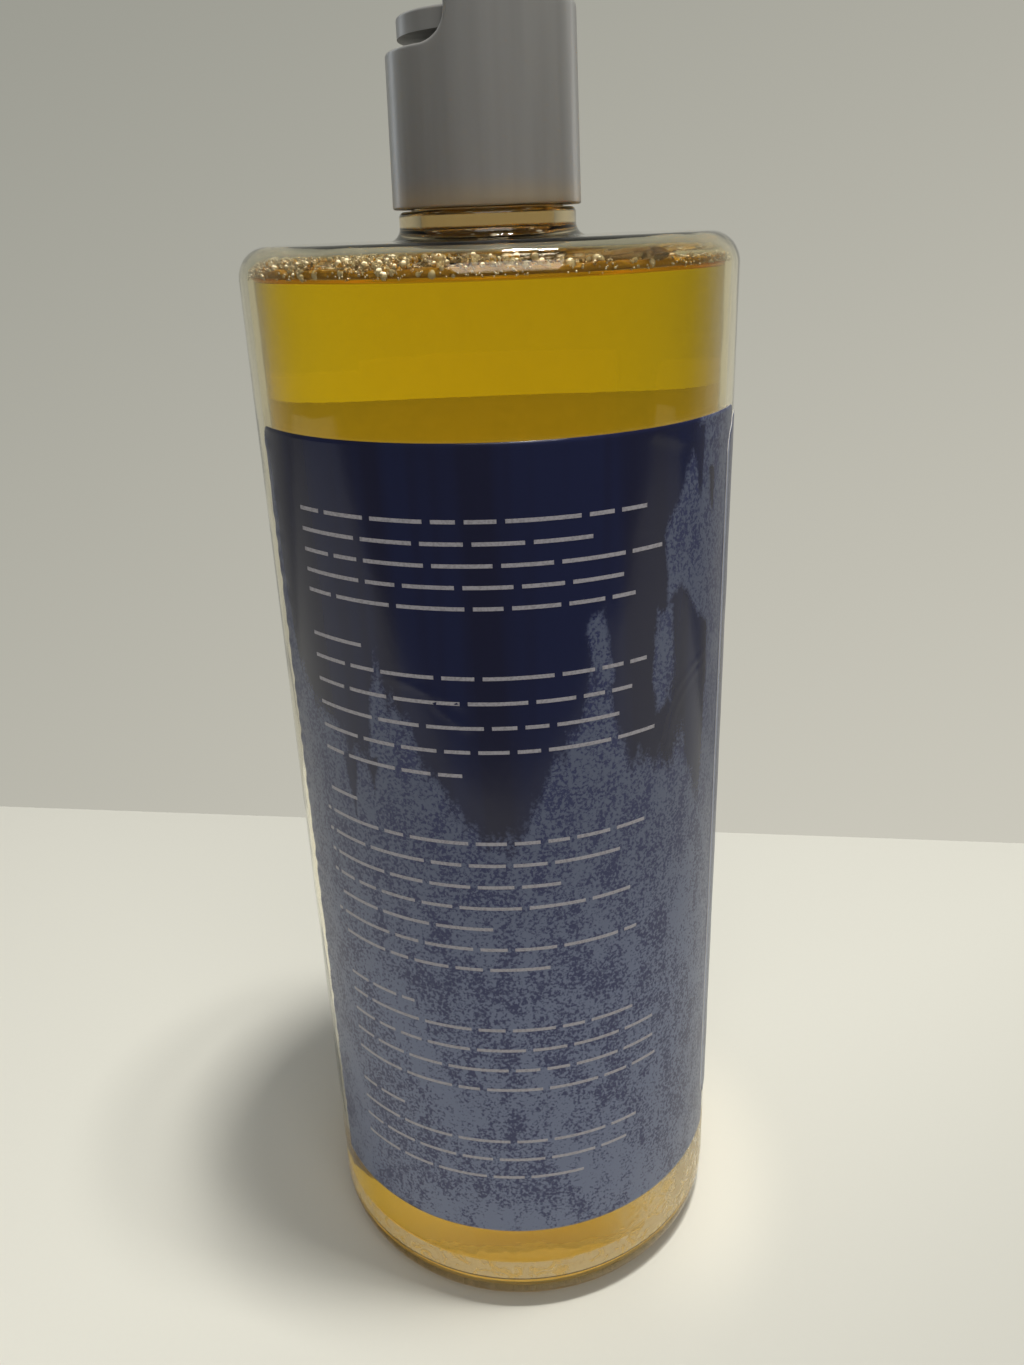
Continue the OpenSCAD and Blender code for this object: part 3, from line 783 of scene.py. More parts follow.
class SOAP_OT_foam(bpy.types.Operator):
    """The head of foam: a lumpy wet film with bubbles of many sizes on it"""
    bl_idname = "soap.foam"
    bl_label = "Foam"

    def execute(self, context):
        b, s = context.scene.soap_bottle, context.scene.soap_foam
        wall_r = BODY_R - b.wall
        level = FOAM_LOW.z
        roof = b.shoulder_z - b.wall - 0.15 * MM
        rng = np.random.default_rng(s.seed)

        # Wet film: a closed slab whose top rises in lumps, a little lower towards the wall
        film_r = wall_r - s.film_gap
        low, high = level + s.film_low, level + s.film_high
        edge = s.film_edge
        profile = trace(
            line((0, low), (film_r - edge, low), 30),
            arc((film_r - edge, low + edge), edge, -90, 0, 4),
            arc((film_r - edge, high - edge), edge, 0, 90, 4),
            line((film_r - edge, high), (0, high), 60))
        grid = turned(profile, 320)
        top = smooth(grid[..., 2], low + edge, high)
        lumps = ripple(grid[..., 0], grid[..., 1], 2.6 * MM, 3) * 0.16 * MM
        lumps += ripple(grid[..., 0], grid[..., 1], 9 * MM, 4) * 0.2 * MM
        inside = 1 - 0.8 * smooth(np.hypot(grid[..., 0], grid[..., 1]), 0, wall_r)
        grid[..., 2] += top * (lumps + 0.3 * MM) * smooth(inside, 0.0, 0.3)
        film = surface("foam_film", grid)
        finish_piece(film, "bottle", "foam", [foam_film(s.wet)], "foam")

        # Small bubbles along the wall, thickest towards -X and thinning out past the front
        a = rng.uniform(0, 2 * math.pi, 6 * s.near)
        crowd = 0.2 + 0.8 * smooth(-np.sin(a), -0.55, 0.35)
        crowd *= np.clip(0.8 + 0.5 * ripple(a * wall_r, 0 * a, 9 * MM, 5), 0.15, 1.2)
        a = a[rng.uniform(0, 1.1, len(a)) < crowd][:s.near]
        size = s.small + (s.large - s.small) * rng.uniform(0, 1, len(a)) ** 6
        pile = s.pile_low + (s.pile_high - s.pile_low) * smooth(-np.sin(a), -0.6, 0.7)
        z = level + s.float_z + size + rng.uniform(0, 1, len(a)) ** 0.8 * pile
        z = np.minimum(z, roof - size)
        # The shoulder's inner curve limits how far out a bubble may stand at its height
        curve = b.shoulder_r - b.wall
        bend = b.shoulder_z - b.shoulder_r
        over = np.clip((z + size - bend) / curve, 0, 0.98)
        reach = wall_r - curve + curve * np.sqrt(1 - over ** 2)
        r = reach - size - s.air - rng.uniform(0, 1, len(a)) ** 2.5 * s.depth
        near = polar(r, a, z)
        glint = s.glint * (rng.uniform(0, 1, len(a)) < s.glinting)

        # Bubbles over the rest of the liquid
        count_in = s.inside
        r_in = np.sqrt(rng.uniform(0, 1, count_in)) * (wall_r - 3.5 * MM)
        a_in = rng.uniform(0, 2 * math.pi, count_in)
        size_in = s.small * 1.4 + s.inner * rng.uniform(0, 1, count_in) ** 3
        z_in = level + 1.3 * MM + size_in * 0.9 + rng.uniform(0, 1, count_in) * 0.5 * MM
        z_in = np.minimum(z_in, roof - size_in)
        centres = np.concatenate([near, polar(r_in, a_in, z_in)])
        sizes = np.repeat(np.concatenate([size, size_in])[:, None], 3, 1)
        small = sizes[:, 0] < s.milky
        glints = np.concatenate([glint, np.full(count_in, 0.5)])
        fine = heap("foam_bubbles_small", centres[small], sizes[small], 5, 8, glints[small])
        finish_piece(fine, "bottle", "foam", [foam_bubble("foam_milky", s.dry, s.wet, 0.0, 2.0)])

        wide_size = WIDE_BUBBLES[:, 2:] * MM
        wide_r = wall_r - WIDE_BUBBLES[:, 1] * MM
        wide_z = roof - wide_size[:, 2] - s.air
        wide = polar(wide_r, np.radians(WIDE_BUBBLES[:, 0]), wide_z)
        big_centres = np.concatenate([centres[~small], wide])
        big_sizes = np.concatenate([sizes[~small], wide_size])
        big_glints = np.concatenate([glints[~small], np.zeros(len(wide_size))])
        coarse = heap("foam_bubbles_large", big_centres, big_sizes, 14, 24, big_glints)
        finish_piece(coarse, "bottle", "foam", [foam_bubble("foam_clear", s.dry, s.dry, 0.8, 1.3)])
        return {"FINISHED"}


# Where the back label's scuffs and their painted reflection of the room begin, as (angle in degrees,
# height in millimetres) from its free edge to its covered edge. Below this line the film shows that
# painted reflection, above it nearly black.
SCUFF_AND_REFLECTION_LINE = [(-66, 178), (-63, 174), (-60, 150), (-57, 139), (-50, 133), (-40, 128), (-34, 127),
             (-31, 143), (-27, 139), (-23, 134), (-18, 125), (-13, 120), (-4, 112), (3, 115),
             (6, 122), (13, 130), (17, 136), (19, 144), (23, 140), (27, 128), (34, 124), (41, 122),
             (46, 126), (49, 118), (54, 113), (56, 121), (58, 140), (61, 170), (66, 178)]
# Outlines of scuffed patches, with the painted reflection, above that line, then of dark wedges
# without it through them, in the same units
SCUFFS = [[(51, 178), (45.5, 170), (42.5, 165), (37.8, 159), (39.3, 148), (43.7, 150), (49.6, 145),
           (55.9, 141), (56, 130), (54.8, 113), (66, 110), (72, 135), (71, 177)],
          [(36, 147), (41, 147.5), (42, 137), (40.6, 130.7), (36, 129), (34.8, 135.3)],
          [(-65, 134), (-61, 137), (-61.5, 174), (-64, 175)],
          [(18, 147), (22, 150), (25, 138), (20, 132)]]
WEDGES = [[(46.5, 174), (51.5, 175), (50.3, 164)], [(54.2, 168), (57, 167.5), (56.5, 160)],
          [(-42, 123), (-38.5, 122), (-40, 111)], [(-34, 123), (-31.5, 124), (-33, 116)]]


def inside(x, y, corners, soft):
    """How far the points are inside an outline, from 0 to 1: a smooth step of the distance to its
    nearest side, from soft outside to soft inside. A ray along x that crosses an odd number of
    sides starts inside."""
    near = np.full(x.shape, 1e9)
    odd = np.zeros(x.shape, bool)
    for (x0, y0), (x1, y1) in zip(corners, corners[1:] + corners[:1]):
        dx, dy = x1 - x0, y1 - y0
        t = np.clip(((x - x0) * dx + (y - y0) * dy) / (dx * dx + dy * dy), 0, 1)
        near = np.minimum(near, np.hypot(x - x0 - t * dx, y - y0 - t * dy))
        odd ^= ((y0 > y) != (y1 > y)) & (x < x0 + (y - y0) * dx / (dy or 1e-9))
    return smooth(np.where(odd, near, -near), -soft, soft)


def scuff_and_reflection_field(a, z):
    """How scuffed the back label is at angle a and height z, and so how much painted reflection of
    the
    room it shows, from 0 to 1: a smooth step across the line where the scuffs begin, with the scuffs
    added and the wedges cut out."""
    degrees, height = np.degrees(a), z / MM
    start, top = np.array(SCUFF_AND_REFLECTION_LINE).T
    field = smooth(np.interp(degrees, start, top) - height, -7, 12)
    for corners in SCUFFS:
        field = np.maximum(field, inside(degrees, height, corners, 2.4))
    for corners in WEDGES:
        field = field * (1 - inside(degrees, height, corners, 1.2))
    return field


# Creases of the back label, as (start, end, width, bend): the ends in the units of the line where
# the scuffs begin, the width and the bend in millimetres
CREASES = (
    ((-31, 139), (-9, 135), 0.35, -0.8), ((-18, 137), (-8, 131), 0.3, 0.5),
    ((38, 124), (55, 136), 0.4, -3.0), ((40, 122), (55, 134), 0.3, -3.0),
    ((-22, 98), (4, 97), 0.4, -0.8), ((34, 175), (60, 172), 0.8, 0.8))


def crease(a, z, start, end, width, bend):
    """A narrow fold on the label from start to end: the bell of the distance to that line, which
    bows out by bend."""
    per_degree = math.radians(1) * BODY_R / MM
    x, y = a * BODY_R / MM, z / MM
    x0, y0 = start[0] * per_degree, start[1]
    x1, y1 = end[0] * per_degree, end[1]
    span = math.hypot(x1 - x0, y1 - y0)
    along = ((x - x0) * (x1 - x0) + (y - y0) * (y1 - y0)) / span
    t = np.clip(along / span, 0, 1)
    across = ((x - x0) * (y1 - y0) - (y - y0) * (x1 - x0)) / span - bend * 4 * t * (1 - t)
    off = np.hypot(across, along - t * span)
    return np.exp(-(off / width) ** 2)


def film_sheet(name, radius, thickness, low, high, start, end, corner, step, shape=None,
               fields=None, lift=None):
    """A thin sheet wrapped on the bottle between two angles, closed all round. Its columns follow
    the angle and its rows go up the outer face and down the inner one. The outline's corners are
    quarter circles, and the two faces meet on the middle surface along all four edges. shape
    adds a height to the outer face, fields gives attributes, both from angle and height, and
    lift raises both faces by an amount at each angle."""
    arc_length = radius * (end - start)
    edge = corner * (1 - np.cos(np.linspace(0, math.pi / 2, 9)))
    inner = np.linspace(corner, arc_length - corner, int((arc_length - 2 * corner) / step) + 2)
    s = np.unique(np.round(np.concatenate([edge, inner, arc_length - edge]), 9))
    side = np.minimum(s, arc_length - s).clip(0, corner)
    bite = corner - np.sqrt(np.maximum(corner ** 2 - (corner - side) ** 2, 0))
    bevel = thickness / 2
    share = bevel / (high - low)
    t = np.linspace(0, 1, int((high - low) / step) + 2)
    t = np.unique(np.concatenate([[share, 1 - share], t]))
    z = (low + bite)[None] + t[:, None] * (high - low - 2 * bite)[None]
    a = np.broadcast_to(start + s / radius, z.shape)
    from_edge = np.minimum(np.minimum(s, arc_length - s)[None] + 0 * z,
                           np.minimum(t, 1 - t)[:, None] * (high - low))
    half = thickness / 2 * np.sqrt(np.clip(from_edge / bevel, 0, 1))
    proud = shape(a, z) * smooth(half, 0, thickness / 2) if shape else 0
    middle = radius + thickness / 2
    climb = lift(a) if lift else 0
    grid = np.concatenate([polar(middle + half + proud + climb, a, z),
                           polar(middle - half + climb, a, z)[::-1]])
    rows = len(t)
    slots = np.array([0] * (rows - 1) + [1] * (rows + 1))
    values = {}
    for key, field in (fields or {}).items():
        both = field(a, z)
        values[key] = np.concatenate([both, both[::-1]])
    return surface(name, grid, wrap_rows=True, wrap_columns=False, row_slots=slots,
                   fields=values)


# Rows of the print as (height in millimetres, end angle in degrees), from the top. All rows start
# at the left margin; short rows are headings, and the ones marked True start with a dot.
PRINT_ROWS = (
    [(164.6 - 3.35 * k, end, False) for k, end in enumerate((34, 23, 37, 30, 34))]
    + [(143.7, -32, False)]
    + [(139.8 - 4.25 * k, end, False) for k, end in enumerate((33, 29, 29, 38, -9))]
    + [(114.8, -39, False)]
    + [(110.2 - 4.25 * k, end, dot) for k, (end, dot) in enumerate(
        ((33, True), (30, True), (11, True), (29, True), (-3, False), (31, True), (8, False)))]
    + [(75.4, -27, False)]
    + [(71.4 - 4.6 * k, end, False) for k, end in enumerate((30, 40, 37, 38))]
    + [(49.6, -33, False)]
    + [(45.0 - 4.5 * k, end, False) for k, end in enumerate((35, 31, 18))])
PRINT_MARGIN = -48.5


def dashes(rng, end, dotted):
    """Dashes of one row as (start, end) angles in degrees: words of 3.5 to 12 mm with 1.3 mm
    between them, and a dot before the margin where the row is dotted."""
    per_mm = math.degrees(1 * MM / BODY_R)
    at = PRINT_MARGIN
    found = []
    if dotted:
        found.append((at - 1.9 * per_mm, at - 1.0 * per_mm))
    while at < end - 2 * per_mm:
        wide = rng.uniform(3.5, 12) * per_mm
        found.append((at, min(at + wide, end)))
        at += wide + 1.3 * per_mm
    return found


class SOAP_OT_labels(bpy.types.Operator):
    """The printed back label, the wider front label that laps over it and the plain print"""
    bl_idname = "soap.labels"
    bl_label = "Labels"

    def execute(self, context):
        s = context.scene.soap_labels
        backing = label_backing(s.backing, s.glow, s.glow_low)
        face = BODY_R - s.sink

        def back_shape(a, z):
            """Puckers along the free edge, a few creases and the lifted upper corner."""
            x = a * BODY_R
            free = np.exp(-((a - s.back_from) * BODY_R / (2.6 * MM)) ** 2)
            proud = 0.05 * MM * free * (1 + ripple(x * 0.4, z, 3.2 * MM, 21))
            proud += 0.012 * MM * ripple(x, z, 14 * MM, 22)
            for settings in CREASES:
                proud += 0.07 * MM * crease(a, z, *settings)
            return proud

        def smear(a, z):
            """Broad smooth smears in the scuffed part, where its painted reflection closes up."""
            x = a * BODY_R
            lower = smooth(120 * MM - z, 0, 60 * MM)
            streak = smooth(ripple(x + 0.35 * z, 0.25 * z, 16 * MM, 31), 0.6, 1.6)
            foot = smooth(34 * MM - z, 0, 9 * MM) * smooth(ripple(x, z, 20 * MM, 32), -0.6, 0.8)
            return np.clip(lower * streak + foot, 0, 1)

        ground = label_ground("back_label_print", s)
        back = film_sheet("back_label_film", face, s.film, BACK_LOW.z, BACK_HIGH.z,
                          s.back_from, s.back_to, s.back_corner, 0.7 * MM, back_shape,
                          {"haze": scuff_and_reflection_field, "smear": smear, "worn": lambda a, z: 0 * a})
        finish_piece(back, "bottle", "back_label_film", [ground, backing], "back_label")

        def front_scuff_and_reflection(a, z):
            """Scuffed, with the painted reflection of the room, nearly all over, with a slow rise
            and fall.
            """
            x = a * BODY_R
            return np.clip(0.85 + 0.15 * ripple(x, z * 0.5, 22 * MM, 41), 0, 1)

        def front_lift(a):
            """Climb of the front label onto the back one."""
            over = s.back_to + math.radians(2)
            return 1.05 * s.film * (1 - smooth(a, s.back_to, over))

        front = film_sheet("front_label_film", face, s.film, FRONT_LOW.z, FRONT_HIGH.z,
                           s.front_from, s.front_to, s.front_corner, 1.2 * MM,
                           lambda a, z: 0.012 * MM * ripple(a * BODY_R, z, 14 * MM, 42),
                           {"haze": front_scuff_and_reflection, "smear": smear,
                            # Painted highlight along the lapping edge
                            "worn": lambda a, z: 1 - smooth(a, s.front_from,
                                                            s.front_from + s.edge_highlight_wide)},
                           front_lift)
        finish_piece(front, "bottle", "front_label_film",
                     [label_ground("front_label_print", s), backing], "front_label")

        rng = np.random.default_rng(s.seed)
        marks = np.array([(height, *dash) for height, end, dotted in PRINT_ROWS
                          for dash in dashes(rng, end, dotted)])
        # A dash is a low plate: four rows of eight points, joined round, and its two ends
        t = np.linspace(0, 1, 8)
        a = np.radians(marks[:, 1:2] + (marks[:, 2:3] - marks[:, 1:2]) * t)
        low = (marks[:, 0] * MM - s.dash / 2)[:, None]
        high = low + s.dash
        base = face + s.film - 0.02 * MM
        rings = []
        for r, z in ((base, low), (base + 0.05 * MM, low), (base + 0.05 * MM, high), (base, high)):
            z = z + 0 * a
            rings.append(polar(r + back_shape(a, z), a, z))
        rings = np.stack(rings, 1)
        first = np.arange(len(marks)) * 32
        ends = np.array([[0, 8, 16, 24], [31, 23, 15, 7]])
        quads = np.concatenate([cells(4, 8, wrap_rows=True).reshape(-1, 4), ends])
        faces = (first[:, None, None] + quads[None]).reshape(-1, 4).tolist()
        plain = new_piece("label_print", rings.reshape(-1, 3), faces)
        plain.data.polygons.foreach_set("use_smooth", np.zeros(len(faces), bool))
        finish_piece(plain, "bottle", "back_label_film", [print_ink(s.print_colour)])
        return {"FINISHED"}


class SOAP_OT_cap(bpy.types.Operator):
    """The cap body as one closed surface, with the CAD model's disc and liner"""
    bl_idname = "soap.cap"
    bl_label = "Cap"

    def execute(self, context):
        s, b = context.scene.soap_cap, context.scene.soap_bottle
        rim_z, top_z = CAP_LOW.z, CAP_HIGH.z
        rim_r = CAP_HIGH.x
        deck_z = LINER_HIGH.z + 0.05 * MM
        deck_top = deck_z + s.deck
        floor_z = top_z - s.notch_depth
        pivot_z = DISC_HIGH.z - s.pivot_drop
        cone_h = top_z - s.edge_r - rim_z
        taper = (rim_r - s.top_r) / cone_h

        def outer_r(z):
            """Radius of the tapered outside at height z."""
            return rim_r - taper * np.clip(z - rim_z, 0, cone_h)

        # The wall's upper edge, seen in X and Z down one side of the notch: a small convex corner
        # below the top, the upright side, the concave corner and the start of the flat floor.
        # lean is the angle of the cut face's normal above -X.
        soft = s.notch_edge
        convex = np.radians(np.linspace(90, 0, 7))
        concave = np.radians(np.linspace(0, 90, 14))
        side_z = np.linspace(top_z - soft, floor_z + s.notch_r, 6)[1:-1]
        edge_x = -np.concatenate([s.notch_x - soft + soft * np.cos(convex),
                                  0 * side_z + s.notch_x,
                                  s.notch_x + s.notch_r * (1 - np.cos(concave))])
        edge_z = np.concatenate([top_z - soft + soft * np.sin(convex), side_z,
                                 floor_z + s.notch_r * (1 - np.sin(concave))])
        lean = np.concatenate([convex, 0 * side_z, concave])

        def lap(radius, top_steps=150, floor_steps=40):
            """Angles once round the edge at a radius: along the level top from the notch's rear
            side past +X, down the front side, along the floor and up the rear side."""
            side = np.arcsin(edge_x / radius)
            top_t = np.linspace(0, 1, top_steps + 2)[1:-1]
            floor_t = np.linspace(0, 1, floor_steps + 2)[1:-1]
            return np.concatenate([math.pi - side[0] + top_t * (2 * side[0] - math.pi), side,
                                   side[-1] - floor_t * (math.pi + 2 * side[-1]),
                                   -math.pi - side[::-1]])[::-1]

        level, flat = np.ones(150), np.ones(40)
        z_edge = np.concatenate([top_z * level, edge_z, floor_z * flat, edge_z[::-1]])[::-1]
        normal = np.concatenate([level * math.pi / 2, lean, flat * math.pi / 2, lean[::-1]])[::-1]
        on_top = (z_edge > top_z - 1e-7)[:, None]
        away = np.stack([-np.cos(normal), 0 * normal, np.sin(normal)], -1)
        r_edge = outer_r(z_edge)
        outer_edge = polar(r_edge, lap(outer_r(edge_z)), z_edge)
        inner_edge = polar(s.well_r, lap(s.well_r), z_edge)
        across = inner_edge - outer_edge
        across /= np.linalg.norm(across, axis=1)[:, None]
        near_notch = smooth(np.abs(outer_edge[:, :1] + s.notch_x), 0, 3 * MM)
        outer_soft = np.where(on_top, soft + (s.edge_r - soft) * near_notch, soft)

        def on_wall(points, radius):
            """The points moved along Y onto the round wall of that radius."""
            x, y, z = points.T
            reach = np.sqrt(np.maximum(radius ** 2 - x ** 2, 0)) * np.sign(y)
            return np.stack([x, np.where(np.abs(y) > 2 * MM, reach, y), z], -1)

        def leaned(before, corner, after, steps):
            """Rows of a parabola from before to after that leans on corner."""
            t = np.linspace(0, 1, steps + 1)[:, None, None]
            return (1 - t) ** 2 * before + 2 * t * (1 - t) * corner + t ** 2 * after

        outer_from = on_wall(outer_edge - outer_soft * away, r_edge)
        outer_to = outer_edge + np.minimum(outer_soft, 1.0 * MM) * across
        inner_from = inner_edge - s.inner_edge * across
        inner_to = on_wall(inner_edge - s.inner_edge * away, s.well_r)

        even = np.linspace(0, 2 * math.pi, len(z_edge), endpoint=False)

        def bearing(points):
            """Angle of points from -Y towards +X, without jumps along the row."""
            return np.unwrap(np.arctan2(points[:, 0], -points[:, 1]))

        ring = even + (bearing(outer_from) - even).mean()

        def spread(points, low, steps):
            """Angles and heights of rows from the even ring at height low up to the points."""
            path = bearing(points)
            path += 2 * math.pi * np.round((ring - path).mean() / (2 * math.pi))
            t = np.linspace(0, 1, steps + 1)[:, None]
            return ring + (path - ring) * t, low + (points[:, 2] - low) * t

        wall_a, wall_z = spread(outer_from, rim_z + s.rim_edge, 30)
        well_a, well_z = spread(inner_to, deck_top, 34)
        # Blind sockets for the disc's pins, in front and behind
        off = np.hypot(s.well_r * np.sin(well_a), well_z - pivot_z)
        socket = 1 - smooth(off, s.socket_r, s.socket_r + 0.35 * MM)
        well_rows = polar(s.well_r + s.socket_depth * socket, well_a, well_z)[::-1]

        def rings(profile):
            """Rows of a profile of (r, z) points on the even ring."""
            return polar(profile[:, :1], ring[None], profile[:, 1:])

        seat_top = deck_top + s.seat_h
        inside = rings(trace(
            line((s.well_r - 0.1 * MM, deck_top), (s.seat_r, deck_top), 4, 0.1 * MM),
            line((s.seat_r, deck_top), (s.seat_r, seat_top), 4, 0.1 * MM),
            line((s.seat_r - 0.05 * MM, seat_top), (s.orifice_r, seat_top), 12)))
        # The valve drum's round underside lies along Y in a trough of the seat
        trough = pivot_z - np.sqrt(np.maximum(s.drum_r ** 2 - inside[..., 0] ** 2, 0))
        on_seat = np.hypot(inside[..., 0], inside[..., 1]) < s.seat_r + 1e-6
        inside[..., 2] = np.where(on_seat, np.minimum(inside[..., 2], trough), inside[..., 2])

        under = rings(trace(
            line((s.orifice_r, deck_z), (s.skirt_r, deck_z), 6, 0.1 * MM),
            line((s.skirt_r, deck_z), (s.skirt_r, rim_z + s.rim_edge), 60, 0.1 * MM)))
        ridge = thread_height(np.mod(ring, 2 * math.pi)[None], under[..., 2],
                              b.thread_z + b.pitch / 2, b.pitch, b.turns, b.ridge_root,
                              b.ridge_crest)
        on_skirt = np.hypot(under[..., 0], under[..., 1]) > s.skirt_r - 1e-6
        under[..., :2] *= (1 - on_skirt * ridge * (1 - s.thread_r / s.skirt_r))[..., None]
        rim = rings(trace(
            arc((s.skirt_r + s.rim_edge, rim_z + s.rim_edge), s.rim_edge, 180, 270, 4),
            arc((rim_r - s.rim_edge, rim_z + s.rim_edge), s.rim_edge, -90, 0, 4)))
        grid = np.concatenate([
            polar(outer_r(wall_z), wall_a, wall_z)[1:],
            leaned(outer_from, outer_edge, outer_to, 6)[1:],
            leaned(inner_from, inner_edge, inner_to, 4),
            well_rows[1:], inside, under, rim[1:]])
        piece = surface("cap_shell", grid, wrap_rows=True)
        grey = moulded_grey(s.grey, s.painted_amber_light, CAP_LOW.z)
        finish_piece(piece, "cap", "cap_plastic", [grey], "cap_body")
        for node, material in (("press_disc", grey), ("seal_liner", liner_white())):
            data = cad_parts[node].data
            data.materials.clear()
            data.materials.append(material)
        return {"FINISHED"}


# Middle of the bottle, then soft lamps that shine at it, as (name, place, size, watts, colour)
MIDDLE = (0, 0, 0.11)
LAMPS = (
    ("key_left", (0.11, -0.05, 1.0), (0.09, 0.09), 5.6, (1.0, 0.98, 0.94)),
    ("key_right", (0.22, -0.07, 1.0), (0.06, 0.06), 1.6, (1.0, 0.98, 0.94)),
    ("front", (0.1, -0.7, 0.75), (0.7, 0.4), 2.3, (1.0, 0.98, 0.95)))
# Lamps for the cap alone: it catches a cool sheen at its left and a pale one at its right
SHEENS = (
    ("sheen_left", (-0.5, 0.5, 0.35), (0.12, 0.6), 0.5, (0.85, 0.92, 1.0)),
    ("sheen_right", (0.5, 0.5, 0.35), (0.12, 0.6), 0.5, (1.0, 0.99, 0.96)))


def lamp(name, place, size, power, tint, target=MIDDLE, shape="RECTANGLE"):
    """A soft lamp at place that shines at target."""
    light = bpy.data.lights.new(name, "AREA")
    light.shape = shape
    light.size, light.size_y = size
    light.energy = power
    light.color = tint
    lit = bpy.data.objects.new(name, light)
    away = Vector(place) - Vector(target)
    lit.matrix_world = Matrix.Translation(place) @ away.to_track_quat("Z", "Y").to_matrix().to_4x4()
    bpy.context.scene.collection.objects.link(lit)
    return lit


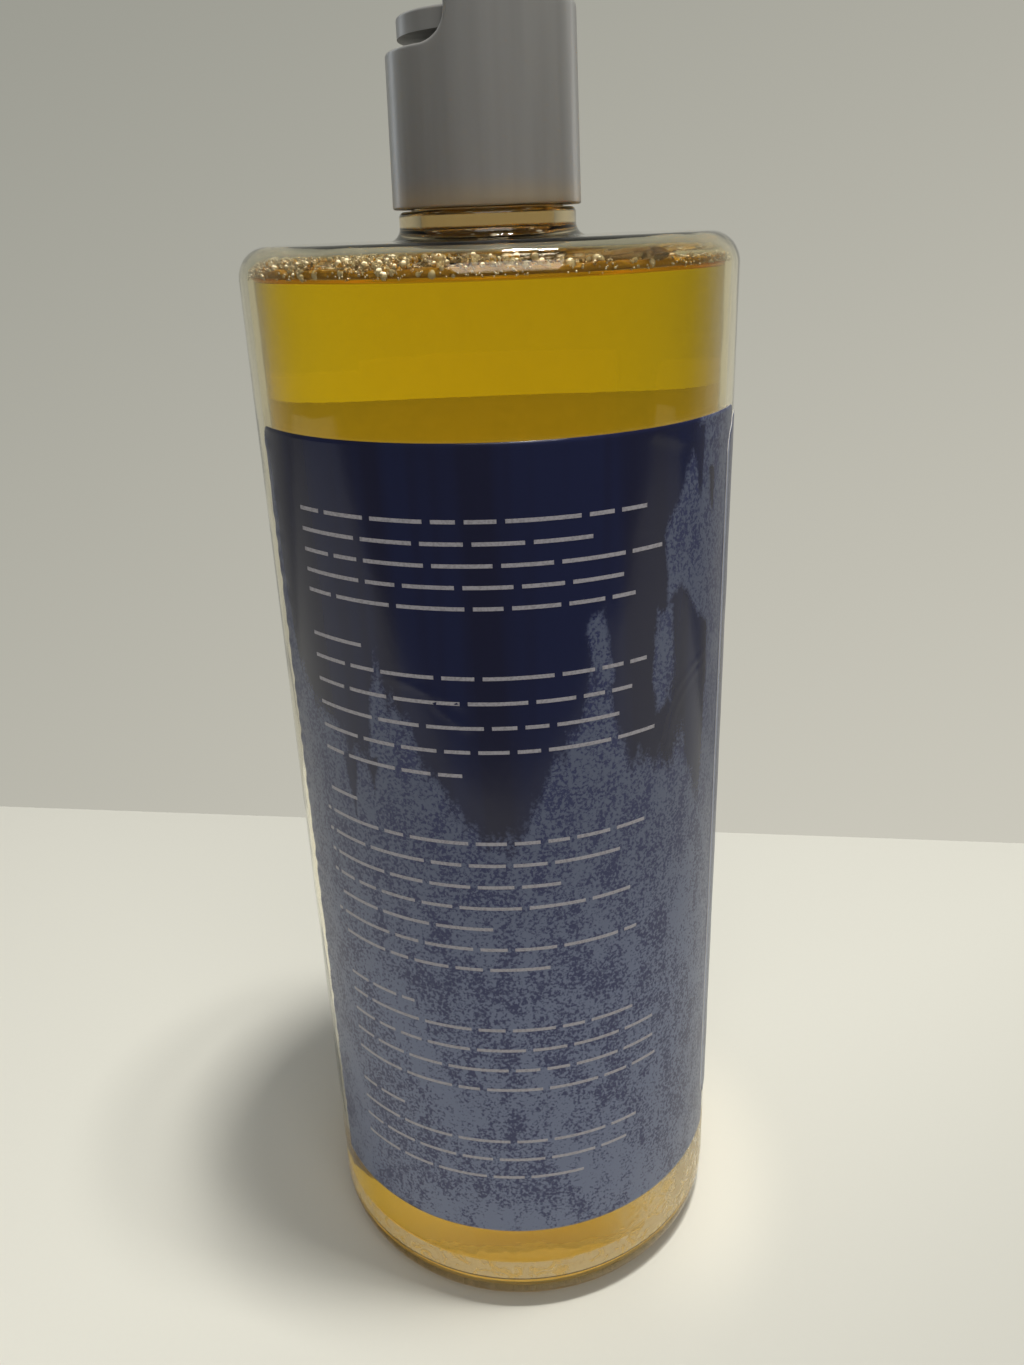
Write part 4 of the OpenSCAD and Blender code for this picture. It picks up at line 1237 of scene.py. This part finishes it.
class SOAP_OT_stage(bpy.types.Operator):
    """Pale floor, soft lamps and the camera"""
    bl_idname = "soap.stage"
    bl_label = "Stage"

    def execute(self, context):
        s = context.scene.soap_stage
        scene = context.scene
        scene.view_settings.view_transform = "Standard"
        mesh = bpy.data.meshes.new("floor")
        near, wide, thick = -s.floor_front, 1.2, 0.5 * MM
        x = np.array([-wide, wide, wide, -wide] * 2)
        far = s.floor_back + s.floor_turn * np.array([wide, -wide])
        y = np.array([near, near, *far] * 2)
        z = np.array([-thick] * 4 + [0] * 4)
        faces = [(3, 2, 1, 0), (4, 5, 6, 7), (0, 1, 5, 4), (1, 2, 6, 5), (2, 3, 7, 6), (3, 0, 4, 7)]
        mesh.from_pydata(np.stack([x, y, z], 1).tolist(), [], faces)
        floor = bpy.data.objects.new("floor", mesh)
        scene.collection.objects.link(floor)
        n = Nodes("floor_paint")
        point = n.object_point()
        grain = n.noise(point, 900.0)
        paper = n.mix(grain, s.floor_colour, scaled(s.floor_colour, 0.98))
        place = n.add("ShaderNodeSeparateXYZ", {"Vector": point}).outputs
        # Painted shade: the floor dims from the back towards the front right
        side = n.math("SUBTRACT", n.math("MULTIPLY", place["X"], 0.5), place["Y"])
        shade = n.mix(n.ramp(side, -0.02, 0.14), paper, scaled(s.floor_colour, s.shade))
        # A painted glow, for the light that the bottle throws, lies round its foot, on its right
        away = n.add("ShaderNodeVectorMath", {0: point}, operation="LENGTH").outputs["Value"]
        ring = n.math("MULTIPLY", n.ramp(away, 0.066, 0.044),
                      n.ramp(n.math("ADD", place["X"], n.math("MULTIPLY", place["Y"], 0.4)),
                             0.0, 0.04))
        n.principled(Base_Color=n.mix(ring, shade, s.floor_glow), Roughness=0.7)
        mesh.materials.append(n.material)

        # Camera rays see the wall, glossy and transmitted ones the wall behind and a dim room in
        # front, and all others the light of the room
        w = Nodes("soft_room", "worlds")
        scene.world = w.material
        seen = w.tree.nodes["Background"]
        way = w.add("ShaderNodeSeparateXYZ",
                    {"Vector": w.add("ShaderNodeTexCoord").outputs["Generated"]}).outputs
        behind = w.ramp(way["Y"], 0.1, 0.9)
        slope = w.math("SUBTRACT", w.math("MULTIPLY", way["X"], 0.4), way["Z"])
        wall = w.mix(w.add("ShaderNodeMapRange",
                           {"Value": slope, "From Min": -0.4, "From Max": 0.75}).outputs[0],
                     s.wall_high, s.wall_low)
        path = w.add("ShaderNodeLightPath")
        bent = w.math("MAXIMUM", path.outputs["Is Glossy Ray"], path.outputs["Is Transmission Ray"])
        w.set(seen, "Color", w.mix(bent, wall, w.mix(behind, s.room_colour, wall)))
        light = w.add("ShaderNodeBackground", {"Color": (0.96, 0.98, 1.0), "Strength": s.ambient})
        rays = w.math("MAXIMUM", path.outputs["Is Camera Ray"], bent)
        blend = w.add("ShaderNodeMixShader", {0: rays})
        w.tree.links.new(light.outputs[0], blend.inputs[1])
        w.tree.links.new(seen.outputs[0], blend.inputs[2])
        w.tree.links.new(blend.outputs[0], w.output.inputs["Surface"])

        for settings in LAMPS:
            lamp(*settings)
        # The soap gathers light under the pushed-up base, which the table throws back
        lamp("under", (0, 0, 0.4 * MM), (64 * MM, 64 * MM), s.under_light, (1.0, 0.68, 0.35),
             (0, 0, 1), "DISK")
        receivers = bpy.data.collections.new("sheen_receivers")
        for piece in ("cap_shell", "press_disc"):
            receivers.objects.link(bpy.data.objects[piece])
        for settings in SHEENS:
            lamp(*settings).light_linking.receiver_collection = receivers

        data = bpy.data.cameras.new("camera")
        data.sensor_fit = "AUTO"
        data.sensor_width = 36
        data.lens = s.lens
        data.clip_start = 0.005
        camera = bpy.data.objects.new("camera", data)
        camera.matrix_world = (
            Matrix.Translation((0, s.camera_y, s.camera_z))
            @ Matrix.Rotation(s.yaw, 4, "Z")
            @ Matrix.Rotation(math.pi / 2 - s.pitch, 4, "X")
            @ Matrix.Rotation(s.roll, 4, "Z"))
        scene.collection.objects.link(camera)
        scene.camera = camera
        return {"FINISHED"}


class SOAP_PT_panel(bpy.types.Panel):
    """Lists the pieces and the sizes behind them"""
    bl_idname = "SOAP_PT_panel"
    bl_label = "Soap bottle"
    bl_space_type = "VIEW_3D"
    bl_region_type = "UI"
    bl_category = "Soap bottle"

    def draw(self, context):
        for operator in OPERATORS:
            self.layout.operator(operator.bl_idname)
        for name, group in GROUPS.items():
            box = self.layout.box()
            box.label(text=group.__doc__)
            settings = getattr(context.scene, name)
            for key in group.__annotations__:
                box.prop(settings, key)


GROUPS = {
    "soap_bottle": BottleSizes,
    "soap_liquid": SoapSizes,
    "soap_foam": FoamSizes,
    "soap_labels": LabelSizes,
    "soap_cap": CapSizes,
    "soap_stage": StageSizes,
}
OPERATORS = (SOAP_OT_bottle, SOAP_OT_soap, SOAP_OT_foam, SOAP_OT_labels, SOAP_OT_cap,
             SOAP_OT_stage)


def register():
    """Registers the classes and puts the settings on the scene."""
    for group in (*GROUPS.values(), *OPERATORS, SOAP_PT_panel):
        bpy.utils.register_class(group)
    for name, group in GROUPS.items():
        setattr(bpy.types.Scene, name, bpy.props.PointerProperty(type=group))


def unregister():
    """Takes the settings and the classes away again."""
    for name in GROUPS:
        delattr(bpy.types.Scene, name)
    for group in reversed((*GROUPS.values(), *OPERATORS, SOAP_PT_panel)):
        bpy.utils.unregister_class(group)


def main():
    """Registers the classes and makes every piece."""
    register()
    for operator in OPERATORS:
        module, name = operator.bl_idname.split(".")
        getattr(getattr(bpy.ops, module), name)()


if __name__ == "__main__":
    main()
